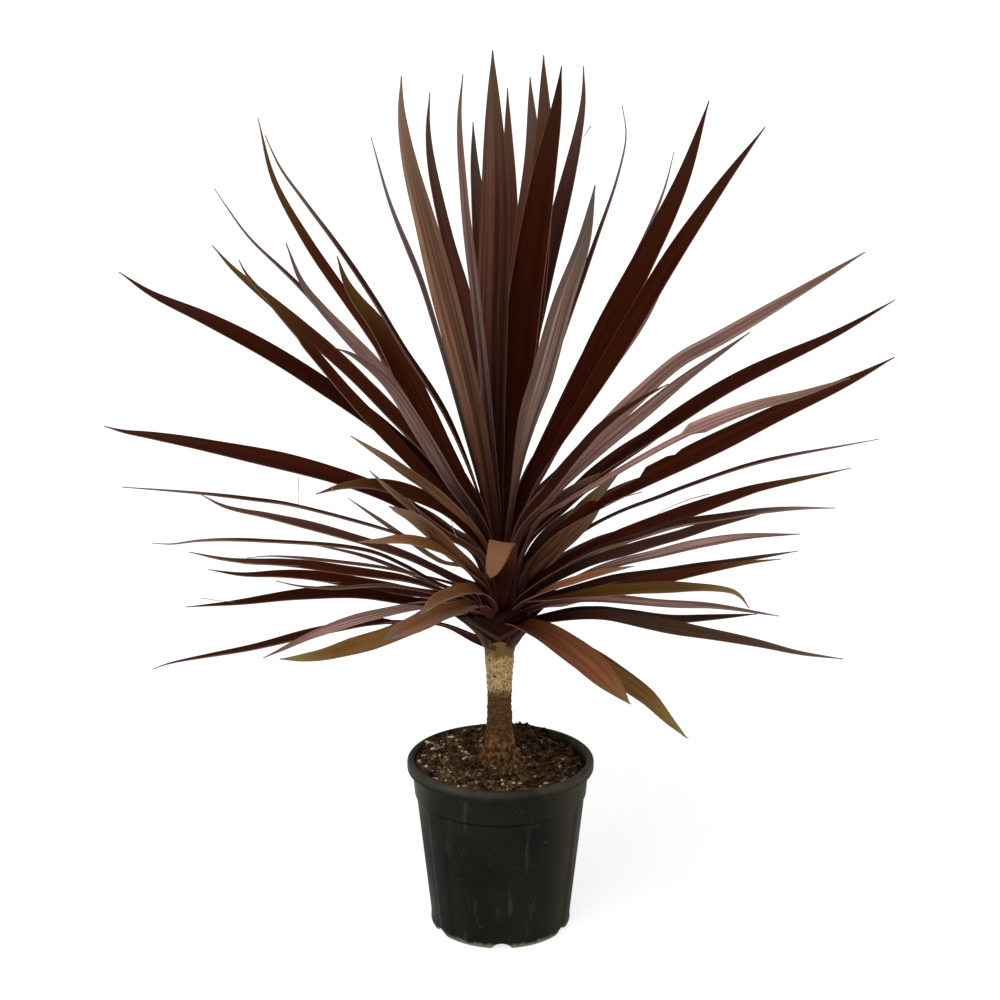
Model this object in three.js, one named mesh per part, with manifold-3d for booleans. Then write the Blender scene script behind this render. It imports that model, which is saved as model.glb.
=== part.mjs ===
// Potted red star cordyline: a nursery pot of soil, a short cane and a full head of strap leaves.
// Millimetres, +Z up. The origin is the centre of the pot's flat underside.
import * as THREE from 'three';
import { mergeVertices } from 'three/addons/utils/BufferGeometryUtils.js';
import Module from 'manifold-3d';

const wasm = await Module();
wasm.setup();

// Pot: the standard 190 mm nursery size
const POT_HEIGHT = 180;
const RIM_RADIUS = 95;
const LIP_HEIGHT = 13;
const COLLAR_RADIUS = 89.5;
const COLLAR_FOOT = 142;
const COLLAR_FOOT_RADIUS = 87;
const FOOT_RADIUS = 72;
const FOOT_ROUND = 5;
const WALL = 2.4;
const FLOOR = 3;
const POT_SIDES = 72;
const RIB_COUNT = 6;
const RIB_WIDTH_DEG = 17;
const RIB_TURN_DEG = -80;
const PANEL_DEPTH = 1.2;
const PANEL_FOOT = 10;
const NOTCH_COUNT = 6;
const NOTCH_WIDTH = 20;
const NOTCH_HEIGHT = 7;
const NOTCH_DEPTH = 12;
const NOTCH_TURN_DEG = -89;

// Soil and cane
const GAP = 0.35;
const SOIL_TOP = 169;
const SOIL_SIDES = 36;
const SOIL_RINGS = 6;
const CANE_RADIUS = 13;
const CANE_TOP = 297;
const CANE_SIDES = 14;
const CANE_RINGS = 9;
const CANE_HEAD_FLARE = 1.12;
const CANE_CENTRE = -1;
const PLUG_DEPTH = 60;
const ROOT_COUNT = 9;

// Head of leaves: a slim core that the leaf bases are sunk into
const CORE_FOOT = CANE_TOP + GAP;
const CORE_SPLIT = CORE_FOOT + 19;
const CORE_TOP = CORE_FOOT + 53;
const CORE_RADIUS = 16;
const CORE_TIP_RADIUS = 4;
const CORE_SIDES = 12;
const SKIRT_ROOT = 12.5;
const CROWN_CLIMB = 0.33;
const STEP_LENGTH = 64;
const FEWEST_STEPS = 5;
const MOST_STEPS = 8;
const FINEST = 0.02;
const SOCKET_SIDE = 2;
const SOCKET_FACE = 1.8;
const MIDRIB_THICKNESS = 2;
const TIP_THICKNESS = 1;
const CHANNEL = 0.16;
const TIP_WIDTH = 1.6;
const WIDEST_AT = 0.45;
const BASE_WIDTH = 0.42;

// The leaves are set out by eye along sight lines: the eye stands in front of the pot and looks down
// a little, and each leaf has a run of places in a square picture 1000 wide, from its base to its tip.
const EYE = new THREE.Vector3(0, -1900, 948);
const LOOK_DOWN_DEG = 14.7;
const FOCAL = 1996;
const PICTURE_CENTRE = [500.5, 500];
const HEAD_BASE = [499.5, 612];

// depth: how far behind the stem the tip lies. width: the blade's own width. seen: the share of that
// width that shows, below zero where the underside shows. run: places along the midrib, with a third
// number where the depth there doesn't grow steadily.
function blade(depth, width, seen, run) {
  return { depth, width, seen, run };
}

const UPRIGHT = [
  blade(-30, 34, -0.9, [[495, 540], [493, 453], [491.5, 340], [495.7, 200], [493, 50]]),
  blade(110, 30, 0.8, [[503, 540], [512, 453], [522, 376], [532, 300], [543.5, 140], [543.5, 55]]),
  blade(40, 33, 0.97, [[503, 520], [509, 453], [517, 376], [525, 300], [544, 180], [562, 66]]),
  blade(150, 28, 0.6, [[505, 540], [524, 376], [539, 310], [555, 240], [578, 140], [583.5, 66]]),
  blade(190, 28, 0.7, [[500, 540], [508, 453], [516, 340], [525, 225], [530, 150], [530, 77]]),
  blade(230, 26, 0.6, [[498, 540], [500, 453], [503, 340], [507, 220], [507.5, 88]]),
  blade(-110, 24, -0.4, [[493, 500], [480, 360], [474, 300], [465.5, 200], [460, 120], [463, 74]]),
  blade(90, 28, 0.5, [[495, 500], [481, 376], [465, 300], [448.5, 240], [431, 160], [430, 92]]),
  blade(-140, 30, -0.78, [[494, 540], [477, 430], [456, 340], [429, 240], [408, 160], [401, 75]]),
  blade(170, 24, 0.5, [[496, 540], [491, 453], [484, 340], [474, 160], [473, 122]]),
  blade(120, 24, -0.3, [[488, 520], [464, 425], [440, 340], [420, 275], [390, 203], [371, 137]]),
  blade(-240, 28, -0.75, [[512, 500], [529, 420], [541, 376], [563.5, 300], [584, 240], [594.5, 185]]),
  blade(60, 24, 0.35, [[511, 510], [537, 412], [563, 335], [594, 240], [617, 178], [626, 135], [622, 105]]),
];

const HIGH_RIGHT = [
  blade(80, 33, 0.9, [[521, 500], [560, 420], [601, 342], [645, 260], [683, 180], [709, 101]]),
  blade(-50, 28, 0.7, [[530, 495], [575, 415], [632, 320], [683.5, 240], [725, 180], [765, 127]]),
  blade(330, 26, -0.5, [[518, 525], [572, 440], [600, 398], [645, 320], [672, 266]]),
  blade(260, 20, 0.4, [[513, 520], [575, 380], [640, 250], [664, 187], [672.5, 150]]),
  blade(-170, 30, -0.5, [[520, 520], [560, 460], [652, 378], [720, 336], [800, 290], [865, 252]]),
  blade(300, 24, 0.5, [[516, 530], [545, 490], [600, 424], [650, 390], [668, 380]]),
  blade(-280, 28, -0.42, [[522, 530], [580, 463], [640, 410], [690, 369], [750, 332]]),
  blade(120, 30, 0.5, [[522, 540], [580, 482], [660, 426], [735, 377], [830, 335], [895, 300]]),
  blade(-60, 32, 0.6, [[540, 545], [600, 498], [680, 457], [760, 419], [850, 380], [895, 357]]),
  blade(-200, 28, -0.5, [[535, 528], [600, 478], [680, 436], [720, 413], [800, 392], [850, 377]]),
  blade(-330, 22, -0.5, [[520, 560], [545, 532], [575, 507], [618, 474]]),
  blade(-400, 22, -0.5, [[518, 555], [540, 530], [565, 505], [596, 478]]),
];

const HIGH_LEFT = [
  blade(130, 26, 0.5, [[485, 525], [445, 450], [377, 339], [307, 240], [274, 180], [258, 118]]),
  blade(-120, 22, 0.28, [[490, 530], [449, 415], [404, 348], [340, 247], [280, 168], [265, 135]]),
  blade(230, 18, 0.25, [[488, 535], [415, 420], [302, 287], [250, 235], [214, 188]]),
  blade(90, 28, 0.55, [[487, 535], [425, 440], [350, 362], [291, 312], [243, 280], [212, 245]]),
  blade(-130, 26, 0.45, [[475, 530], [410, 465], [345, 395], [304, 345], [262, 293], [239, 260]]),
  blade(-240, 28, -0.6, [[482, 530], [430, 450], [387, 377], [345, 335], [303, 282], [286, 243]]),
  blade(-340, 22, -0.5, [[484, 535], [450, 480], [390, 390], [352, 357], [335, 349]]),
  blade(-40, 33, 0.8, [[482, 530], [440, 445], [408, 380], [375, 320], [350, 287], [337, 256]]),
  blade(150, 30, 0.6, [[485, 535], [410, 450], [310, 377], [210, 320], [150, 291], [119, 271]]),
  blade(100, 28, 0.6, [[485, 565], [440, 529], [387, 497], [300, 466], [200, 444], [104, 425]]),
  blade(-300, 26, 0.4, [[484, 549], [455, 512], [419, 493], [374, 484], [342, 487], [316, 494]]),
  blade(-360, 24, -0.45, [[485, 545], [445, 500], [395, 463], [351, 436]]),
  blade(-330, 24, -0.5, [[484, 560], [440, 530], [393, 492], [370, 471]]),
  blade(-420, 24, -0.5, [[482, 575], [440, 542], [402, 514], [388, 506]]),
  blade(-390, 22, -0.5, [[484, 565], [462, 548], [440, 527], [410, 496]]),
];

const LOW_LEFT = [
  blade(380, 16, 0.3, [[480, 575], [440, 560], [396, 531], [348, 498]]),
  blade(-230, 20, -0.28, [[482, 580], [430, 545], [368, 524], [253, 499], [122, 487]]),
  blade(270, 18, 0.28, [[482, 585], [440, 566], [358, 541], [266, 515], [200, 494]]),
  blade(-380, 22, 0.35, [[484, 575], [470, 560], [429, 542], [380, 540], [359, 542]]),
  blade(60, 22, 0.3, [[478, 600], [431, 567], [368, 546], [253, 538], [189, 541], [152, 543]]),
  blade(330, 18, 0.3, [[480, 600], [430, 578], [368, 555], [299, 541]]),
  blade(-170, 24, 0.35, [[478, 600], [420, 580], [355, 570], [283, 560], [228, 559], [189, 552]]),
  blade(290, 14, 0.3, [[478, 598], [405, 573], [342, 562], [270, 556], [247, 558]]),
  blade(20, 24, 0.4, [[470, 603], [400, 585], [320, 573], [266, 573.5], [208, 569.5]]),
  blade(-200, 16, 0.3, [[470, 605], [395, 586], [310, 586], [276, 581]]),
  blade(-120, 26, 0.45, [[478, 608], [420, 602], [365, 592], [300, 596], [219, 605], [186, 607]]),
  blade(90, 24, 0.35, [[478, 636], [442, 623], [392, 619], [290, 638], [209, 658], [153, 669]]),
  blade(-90, 26, -0.35, [[478, 606], [425, 603], [380, 610], [320, 628], [280, 648], [263, 658]]),
];

const LOW_RIGHT = [
  blade(260, 16, 0.28, [[520, 585], [584, 528], [679, 486], [755, 463], [820, 448], [879, 439]]),
  blade(120, 30, 0.5, [[518, 590], [560, 556], [640, 522], [700, 503], [758, 487], [851, 467]]),
  blade(340, 22, -0.4, [[518, 595], [590, 553], [665, 521], [735, 497]]),
  blade(-230, 24, 0.3, [[520, 597], [589, 548], [680, 521], [781, 509], [835, 508]]),
  blade(230, 26, 0.4, [[520, 600], [580, 562], [640, 541], [705, 525], [770, 511]]),
  blade(-150, 26, -0.3, [[518, 607], [580, 577], [660, 551], [730, 537], [800, 534]]),
  blade(-360, 22, 0.35, [[520, 605], [545, 590], [600, 573], [634, 566]]),
  blade(150, 24, 0.35, [[518, 612], [600, 582], [679, 569], [750, 559], [798, 551]]),
  blade(-60, 24, 0.42, [[518, 615], [600, 590], [679, 575], [745, 563], [781, 559]]),
  blade(-220, 22, -0.3, [[520, 612], [580, 599], [660, 602], [717, 606], [779, 616]]),
  blade(200, 26, 0.35, [[520, 628], [566, 613], [630, 611], [691, 618], [757, 614]]),
  blade(-110, 30, 0.5, [[520, 625], [590, 615.5], [670, 627], [740, 641], [801, 653], [843, 659]]),
];

// Short leaves bent forward over the others
const FOLDED = [
  blade(-330, 30, 0.75, [[480, 606], [455, 611], [425, 623], [384, 640]]),
  blade(-260, 24, 0.5, [[486, 592], [470, 588], [445, 596], [420, 615]]),
  blade(-210, 32, 0.95, [[500, 575, -60], [502, 550, -150], [501, 541, -195], [497, 557, -212], [490, 579]]),
  blade(-290, 28, 0.42, [[520, 605], [560, 595], [640, 587], [695, 585.5], [733, 592], [749, 608]]),
];

// Old leaves at the foot of the head, olive and brown, that droop
const OLD = [
  {
    name: 'old_leaf_left',
    color: 0x5a4a26,
    ...blade(-260, 30, 0.75, [[470, 606], [420, 618], [385, 632], [325, 653], [273, 658]]),
  },
  {
    name: 'old_leaf_hanging',
    color: 0x6b5a30,
    ...blade(-130, 30, 0.65, [[515, 626], [555, 630], [605, 662], [650, 693], [689, 738]]),
  },
  {
    name: 'old_leaf_right',
    color: 0x5d3527,
    ...blade(-250, 30, 0.85, [[512, 622], [540, 629], [585, 659], [612, 686], [630, 704]]),
  },
];

// Leaves on the far side. Each lies on the sight line of the first share of one in front, at a depth
// of its own.
const FAR = [
  { front: UPRIGHT[0], share: 0.5, depth: 430 },
  { front: UPRIGHT[2], share: 0.8, depth: 330 },
  { front: UPRIGHT[2], share: 0.32, depth: 500 },
  { front: UPRIGHT[1], share: 0.6, depth: 420 },
  { front: UPRIGHT[8], share: 0.72, depth: 340 },
  { front: UPRIGHT[8], share: 0.4, depth: 460 },
  { front: UPRIGHT[6], share: 0.22, depth: 500 },
  { front: HIGH_RIGHT[0], share: 0.7, depth: 340 },
  { front: HIGH_RIGHT[0], share: 0.42, depth: 450 },
  { front: HIGH_RIGHT[4], share: 0.55, depth: 400 },
  { front: HIGH_RIGHT[7], share: 0.6, depth: 380 },
  { front: HIGH_RIGHT[8], share: 0.45, depth: 430 },
  { front: HIGH_LEFT[0], share: 0.62, depth: 380 },
  { front: HIGH_LEFT[3], share: 0.72, depth: 340 },
  { front: HIGH_LEFT[7], share: 0.5, depth: 430 },
  { front: HIGH_LEFT[8], share: 0.6, depth: 380 },
  { front: HIGH_LEFT[9], share: 0.42, depth: 430 },
  { front: LOW_RIGHT[1], share: 0.5, depth: 430 },
  { front: LOW_RIGHT[8], share: 0.35, depth: 440 },
  { front: LOW_LEFT[8], share: 0.3, depth: 440 },
];

const axis = new THREE.Vector3(CANE_CENTRE, 0, 0);
const UP = new THREE.Vector3(0, 0, 1);

function material(color, roughness) {
  return new THREE.MeshStandardMaterial({ color, roughness, metalness: 0 });
}

// A closed mesh as a solid that can be joined and cut
function solid(geometry) {
  const bare = geometry.clone();
  bare.deleteAttribute('normal');
  bare.deleteAttribute('uv');
  const whole = mergeVertices(bare, 1e-4);
  const vertProperties = new Float32Array(whole.attributes.position.array);
  const triVerts = new Uint32Array(whole.index.array);
  return new wasm.Manifold(new wasm.Mesh({ numProp: 3, vertProperties, triVerts }));
}

function geometryOf(body) {
  const mesh = body.getMesh();
  const geometry = new THREE.BufferGeometry();
  geometry.setAttribute('position', new THREE.BufferAttribute(new Float32Array(mesh.vertProperties), 3));
  geometry.setIndex(new THREE.BufferAttribute(new Uint32Array(mesh.triVerts), 1));
  return geometry;
}

function named(name, geometry, look) {
  const mesh = new THREE.Mesh(geometry, look);
  mesh.name = name;
  return mesh;
}

// A lathe's axis is Y, so the shape is stood up along Z
function turned(profile, sides) {
  const points = profile.map(([radius, height]) => new THREE.Vector2(radius, height));
  const geometry = new THREE.LatheGeometry(points, sides);
  geometry.rotateX(Math.PI / 2);
  return geometry;
}

// Radius of the pot's plain outer wall at a height under the lip
function wallRadius(height) {
  const rise = (height - FOOT_ROUND) / (COLLAR_FOOT - FOOT_ROUND);
  return FOOT_RADIUS + (COLLAR_FOOT_RADIUS - FOOT_RADIUS) * Math.max(0, rise);
}

// Recessed panels under the collar, with a plain rib between each and the next
function sinkPanels(geometry) {
  const place = geometry.attributes.position;
  const ribHalf = THREE.MathUtils.degToRad(RIB_WIDTH_DEG) / 2;
  const pitch = (2 * Math.PI) / RIB_COUNT;
  for (let i = 0; i < place.count; i += 1) {
    const x = place.getX(i);
    const y = place.getY(i);
    const z = place.getZ(i);
    const radius = Math.hypot(x, y);
    const turn = Math.atan2(y, x) - THREE.MathUtils.degToRad(RIB_TURN_DEG);
    const fromRib = Math.abs(turn - pitch * Math.round(turn / pitch));
    const onPanel = fromRib > ribHalf;
    const onWall = z > PANEL_FOOT - 1 && z < COLLAR_FOOT - 0.5 && radius > wallRadius(z) - WALL / 2;
    if (onPanel && onWall) {
      const scale = (radius - PANEL_DEPTH) / radius;
      place.setXY(i, x * scale, y * scale);
    }
  }
}

function makePot() {
  const lipFoot = POT_HEIGHT - LIP_HEIGHT;
  const mouth = RIM_RADIUS - 6;
  const profile = [
    [0, 0],
    [FOOT_RADIUS - FOOT_ROUND, 0],
    [FOOT_RADIUS - FOOT_ROUND * 0.3, FOOT_ROUND * 0.3],
    [FOOT_RADIUS, FOOT_ROUND],
    [wallRadius(PANEL_FOOT - 2), PANEL_FOOT - 2],
    [wallRadius(PANEL_FOOT), PANEL_FOOT],
    [wallRadius(COLLAR_FOOT - 1), COLLAR_FOOT - 1],
    [COLLAR_FOOT_RADIUS, COLLAR_FOOT],
    [COLLAR_RADIUS, lipFoot - 3],
    [RIM_RADIUS - 2, lipFoot],
    [RIM_RADIUS, lipFoot + 3],
    [RIM_RADIUS, POT_HEIGHT - 3],
    [RIM_RADIUS - 2, POT_HEIGHT],
    [mouth + 1, POT_HEIGHT],
    [mouth, POT_HEIGHT - 2],
    [COLLAR_RADIUS - WALL, lipFoot - 3],
    [COLLAR_FOOT_RADIUS - WALL, COLLAR_FOOT],
    [wallRadius(PANEL_FOOT) - WALL - PANEL_DEPTH, PANEL_FOOT],
    [FOOT_RADIUS - FOOT_ROUND - WALL, FLOOR],
    [0, FLOOR],
  ];
  const shell = turned(profile, POT_SIDES);
  sinkPanels(shell);
  let body = solid(shell);
  for (let i = 0; i < NOTCH_COUNT; i += 1) {
    const notch = new THREE.CylinderGeometry(NOTCH_WIDTH / 2, NOTCH_WIDTH / 2, NOTCH_DEPTH, 12);
    notch.rotateZ(Math.PI / 2);
    notch.scale(1, 1, (2 * NOTCH_HEIGHT) / NOTCH_WIDTH);
    notch.translate(FOOT_RADIUS, 0, 0);
    notch.rotateZ(THREE.MathUtils.degToRad(NOTCH_TURN_DEG) + (i * 2 * Math.PI) / NOTCH_COUNT);
    body = body.subtract(solid(notch));
  }
  return named('pot', geometryOf(body), material(0x1d1c1a, 0.62));
}

// Uneven top of the soil, from two waves and a mound round the cane
function soilHeight(radius, turn) {
  const lumps = 1.6 * Math.sin(3 * turn + radius * 0.11) + 1.1 * Math.sin(7 * turn - radius * 0.19);
  const mound = 4 * Math.exp(-((radius / 40) ** 2));
  return SOIL_TOP + mound + lumps * Math.min(1, radius / 30);
}

function innerRadius(height) {
  const low = wallRadius(PANEL_FOOT) - WALL - PANEL_DEPTH;
  const high = COLLAR_FOOT_RADIUS - WALL;
  const share = (height - PANEL_FOOT) / (COLLAR_FOOT - PANEL_FOOT);
  return low + (high - low) * Math.min(share, 1.1);
}

function makeSoil() {
  const foot = FLOOR + GAP;
  const side = (height) => innerRadius(height) - 2 * GAP;
  const profile = [
    [0, foot],
    [FOOT_RADIUS - FOOT_ROUND - WALL - 2, foot],
    [side(12), 12],
    [side(COLLAR_FOOT), COLLAR_FOOT],
  ];
  const edge = side(SOIL_TOP - 8);
  for (let i = 0; i < SOIL_RINGS; i += 1) {
    profile.push([edge * (1 - i / SOIL_RINGS), SOIL_TOP]);
  }
  profile.push([0, SOIL_TOP]);
  const geometry = turned(profile, SOIL_SIDES);
  const place = geometry.attributes.position;
  for (let i = 0; i < place.count; i += 1) {
    if (place.getZ(i) > SOIL_TOP - 0.01) {
      const radius = Math.hypot(place.getX(i), place.getY(i));
      place.setZ(i, soilHeight(radius, radius < 0.01 ? 0 : Math.atan2(place.getY(i), place.getX(i))));
    }
  }
  const hole = makeCaneSolid(GAP);
  return named('soil', geometryOf(solid(geometry).subtract(hole)), material(0x2a1a10, 0.95));
}

// Cane with the rings of old leaf scars, flared at its foot, with short roots into the soil.
// A swell above zero gives the hole that the soil keeps round it.
function makeCaneSolid(swell) {
  const foot = SOIL_TOP - PLUG_DEPTH;
  const profile = [
    [0, foot - swell],
    [CANE_RADIUS * 0.8 + swell, foot - swell],
    [CANE_RADIUS * 1.15 + swell, SOIL_TOP - 4],
    [CANE_RADIUS * 1.3 + swell, SOIL_TOP + 5],
  ];
  const start = SOIL_TOP + 14;
  for (let i = 0; i < CANE_RINGS; i += 1) {
    const low = start + ((CANE_TOP - start) * i) / CANE_RINGS;
    const high = low + ((CANE_TOP - start) / CANE_RINGS) * 0.8;
    const flare = 1 + (CANE_HEAD_FLARE - 1) * (i / CANE_RINGS) ** 2;
    profile.push([CANE_RADIUS * flare * 0.95 + swell, low]);
    profile.push([CANE_RADIUS * flare * 1.03 + swell, high]);
  }
  profile.push([CANE_RADIUS * CANE_HEAD_FLARE + swell, CANE_TOP]);
  profile.push([0, CANE_TOP]);
  const cane = turned(profile, CANE_SIDES);
  cane.translate(CANE_CENTRE, 0, 0);
  let body = solid(cane);
  for (let i = 0; i < ROOT_COUNT; i += 1) {
    const turn = (i * 2 * Math.PI) / ROOT_COUNT + 0.4 * Math.sin(i * 2.3);
    const reach = 26 + 7 * Math.sin(i * 1.7);
    const root = new THREE.CylinderGeometry(1.2 + swell, 3.2 + swell, reach, 5);
    root.rotateZ(-Math.PI / 2);
    root.translate(reach / 2 + 6, 0, 0);
    root.rotateY(0.55);
    root.rotateZ(turn);
    root.translate(CANE_CENTRE, 0, SOIL_TOP + 18 + 5 * Math.sin(i * 3.1));
    body = body.add(solid(root));
  }
  return body;
}

// The point of the upright plane at a depth that the eye sees at a place of the picture
function seenAt([column, row], depth) {
  const pitch = THREE.MathUtils.degToRad(LOOK_DOWN_DEG);
  const across = column - PICTURE_CENTRE[0];
  const down = row - PICTURE_CENTRE[1];
  const ray = new THREE.Vector3(
    across,
    FOCAL * Math.cos(pitch) - down * Math.sin(pitch),
    -FOCAL * Math.sin(pitch) - down * Math.cos(pitch),
  );
  return EYE.clone().addScaledVector(ray, (depth - EYE.y) / ray.y);
}

// Share of the run covered at each of its places, measured in the picture
function sharesOf(run) {
  const shares = [];
  let length = 0;
  let last = HEAD_BASE;
  for (const spot of run) {
    length += Math.hypot(spot[0] - last[0], spot[1] - last[1]);
    shares.push(length);
    last = spot;
  }
  return shares.map((share) => share / length);
}

// First part of a run, ending at a share of its length
function shortened(run, share) {
  const shares = sharesOf(run);
  const kept = run.filter((spot, i) => shares[i] < share - 0.08);
  const next = kept.length;
  const before = next > 0 ? shares[next - 1] : 0;
  const start = next > 0 ? run[next - 1] : HEAD_BASE;
  const part = (share - before) / (shares[next] - before);
  kept.push([0, 1].map((k) => start[k] + (run[next][k] - start[k]) * part));
  return kept;
}

// Midrib from its root, sunk in the core, to the tip
function midrib({ run, depth }) {
  const shares = sharesOf(run);
  const tip = seenAt(run[run.length - 1], depth);
  const outward = new THREE.Vector3(tip.x - CANE_CENTRE, tip.y, 0);
  const climb = Math.atan2(tip.z - CORE_FOOT, outward.length());
  const level = THREE.MathUtils.clamp(climb / 1.35, 0.05, 1);
  outward.normalize();
  const inCrown = climb > CROWN_CLIMB;
  const root = axis.clone().addScaledVector(outward, inCrown ? 9 - 6 * level : SKIRT_ROOT);
  if (inCrown) {
    root.z = THREE.MathUtils.mapLinear(climb, CROWN_CLIMB, 1.5, CORE_SPLIT + 5, CORE_TOP - 4);
  } else {
    const rise = THREE.MathUtils.clamp((climb + 0.3) / (CROWN_CLIMB + 0.3), 0, 1);
    root.z = THREE.MathUtils.lerp(CORE_FOOT + 4, CORE_SPLIT - 7, rise);
  }
  const course = [root];
  run.forEach((spot, i) => {
    const steady = root.y + (depth - root.y) * shares[i] ** 1.15;
    course.push(seenAt(spot, spot[2] ?? steady));
  });
  return { curve: new THREE.CatmullRomCurve3(course, false, 'centripetal'), outward, inCrown };
}

function bladeWidth(share, width) {
  if (share < WIDEST_AT) {
    const rise = THREE.MathUtils.smoothstep(share, 0, WIDEST_AT);
    return width * (BASE_WIDTH + (1 - BASE_WIDTH) * rise);
  }
  const run = (share - WIDEST_AT) / (1 - WIDEST_AT);
  return Math.max(TIP_WIDTH, width * (1 - run ** 1.6));
}

// Direction of the upper face: towards the stem at the base, turned to the eye further out
function upperFace(point, along, outward, share, seen) {
  const climb = Math.asin(THREE.MathUtils.clamp(along.z, -1, 1));
  const rest = UP.clone().multiplyScalar(Math.cos(climb)).addScaledVector(outward, -Math.sin(climb));
  rest.addScaledVector(along, -rest.dot(along)).normalize();
  const sight = EYE.clone().sub(point);
  sight.addScaledVector(along, -sight.dot(along)).normalize();
  const aside = new THREE.Vector3().crossVectors(sight, along).normalize();
  if (aside.dot(rest) < 0) {
    aside.negate();
  }
  const turn = Math.acos(seen);
  const shown = sight.multiplyScalar(Math.cos(turn)).addScaledVector(aside, Math.sin(turn));
  return rest.lerp(shown, THREE.MathUtils.smoothstep(share, 0.05, 0.4)).normalize();
}

// One blade: a channelled strap, four points to a section, closed at the base and drawn to a point.
// A socket is the same blade a little wider and thicker, to cut room for it.
function leafSolid(leaf, asSocket = false) {
  const { curve, outward } = midrib(leaf);
  const steps = THREE.MathUtils.clamp(Math.round(curve.getLength() / STEP_LENGTH), FEWEST_STEPS, MOST_STEPS);
  const spareSide = asSocket ? SOCKET_SIDE : 0;
  const spareFace = asSocket ? SOCKET_FACE : 0;
  const places = [];
  for (let i = 0; i < steps; i += 1) {
    const share = i / steps;
    const along = curve.getTangentAt(share);
    const point = curve.getPointAt(share);
    const face = upperFace(point, along, outward, share, leaf.seen);
    const across = new THREE.Vector3().crossVectors(face, along).normalize();
    const half = bladeWidth(share, leaf.width) / 2;
    const thick = THREE.MathUtils.lerp(MIDRIB_THICKNESS, TIP_THICKNESS, share) + spareFace;
    const reach = half + spareSide;
    const low = -CHANNEL * half;
    const edge = low + 2 * CHANNEL * reach;
    places.push(point.clone().addScaledVector(across, -reach).addScaledVector(face, edge));
    places.push(point.clone().addScaledVector(face, low + thick / 2));
    places.push(point.clone().addScaledVector(across, reach).addScaledVector(face, edge));
    places.push(point.clone().addScaledVector(face, low - thick / 2));
  }
  places.push(curve.getPointAt(1));
  const faces = [0, 1, 3, 1, 2, 3];
  for (let i = 0; i < steps - 1; i += 1) {
    const [a, b, c, d] = [4 * i, 4 * i + 1, 4 * i + 2, 4 * i + 3];
    const [e, f, g, h] = [a + 4, b + 4, c + 4, d + 4];
    faces.push(a, e, f, a, f, b, b, f, c, c, f, g);
    faces.push(a, d, h, a, h, e, c, h, d, c, g, h);
  }
  const [a, b, c, d] = [4, 3, 2, 1].map((back) => 4 * steps - back);
  const tip = 4 * steps;
  faces.push(a, tip, b, b, tip, c, a, d, tip, d, c, tip);
  const geometry = new THREE.BufferGeometry();
  geometry.setAttribute('position', new THREE.Float32BufferAttribute(places.flatMap((p) => p.toArray()), 3));
  geometry.setIndex(faces);
  return solid(geometry);
}

function joined(bodies) {
  return wasm.Manifold.union(bodies);
}

// The outermost shell alone, so pockets shut in between crossing blades are filled and crumbs dropped,
// with edges shorter than the finest detail closed up
function outerShell(body) {
  const shells = body.simplify(FINEST).decompose();
  return shells.reduce((best, shell) => (shell.volume() > best.volume() ? shell : best));
}

// Slim pieces of the stem's growing end that the leaf bases are sunk into, with room left round them
function crownCore(room = 0) {
  const foot = CORE_SPLIT + GAP - room;
  const top = CORE_TOP + room;
  return makeCore([[0, foot], [CORE_RADIUS + room, foot], [CORE_TIP_RADIUS + room, top], [0, top]]);
}

function skirtCore(room = 0) {
  const foot = CANE_RADIUS * CANE_HEAD_FLARE + room;
  return makeCore([[0, CORE_FOOT], [foot, CORE_FOOT], [CORE_RADIUS + room, CORE_SPLIT], [0, CORE_SPLIT]]);
}

function makeCore(profile) {
  const core = turned(profile, CORE_SIDES);
  core.translate(CANE_CENTRE, 0, 0);
  return solid(core);
}

function farLeaves() {
  return FAR.map(({ front, share, depth }) => blade(depth, 28, 0.6, shortened(front.run, share)));
}

function makeLeaves() {
  const near = [...UPRIGHT, ...HIGH_RIGHT, ...HIGH_LEFT, ...LOW_LEFT, ...LOW_RIGHT, ...FOLDED];
  const rows = [...near, ...farLeaves()];
  const crown = rows.filter((row) => midrib(row).inCrown);
  const skirt = rows.filter((row) => !midrib(row).inCrown);
  const oldRoom = joined(OLD.map((row) => leafSolid(row, true)));
  const crownRoom = joined(crown.map((row) => leafSolid(row, true)));
  const crownBlades = joined(crown.map((row) => leafSolid(row))).subtract(oldRoom);
  const skirtBlades = joined(skirt.map((row) => leafSolid(row))).subtract(crownRoom).subtract(oldRoom);
  const crownBody = outerShell(crownBlades.add(crownCore()));
  const skirtBody = outerShell(skirtBlades.add(skirtCore()).subtract(crownCore(GAP)));
  const old = OLD.map((row) => {
    const blade = leafSolid(row).subtract(skirtCore(GAP)).subtract(crownCore(GAP));
    return named(row.name, geometryOf(blade), material(row.color, 0.6));
  });
  return [
    named('crown_leaves', geometryOf(crownBody), material(0x35140f, 0.5)),
    named('skirt_leaves', geometryOf(skirtBody), material(0x4a221a, 0.55)),
    ...old,
  ];
}

const plant = new THREE.Group();
plant.add(makePot());
plant.add(makeSoil());
plant.add(named('stem', geometryOf(makeCaneSolid(0)), material(0x8a7048, 0.85)));
plant.add(...makeLeaves());

export default plant;
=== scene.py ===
import math
import random
from collections import namedtuple

import bmesh
import bpy
from mathutils import Matrix, Vector, noise


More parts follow.
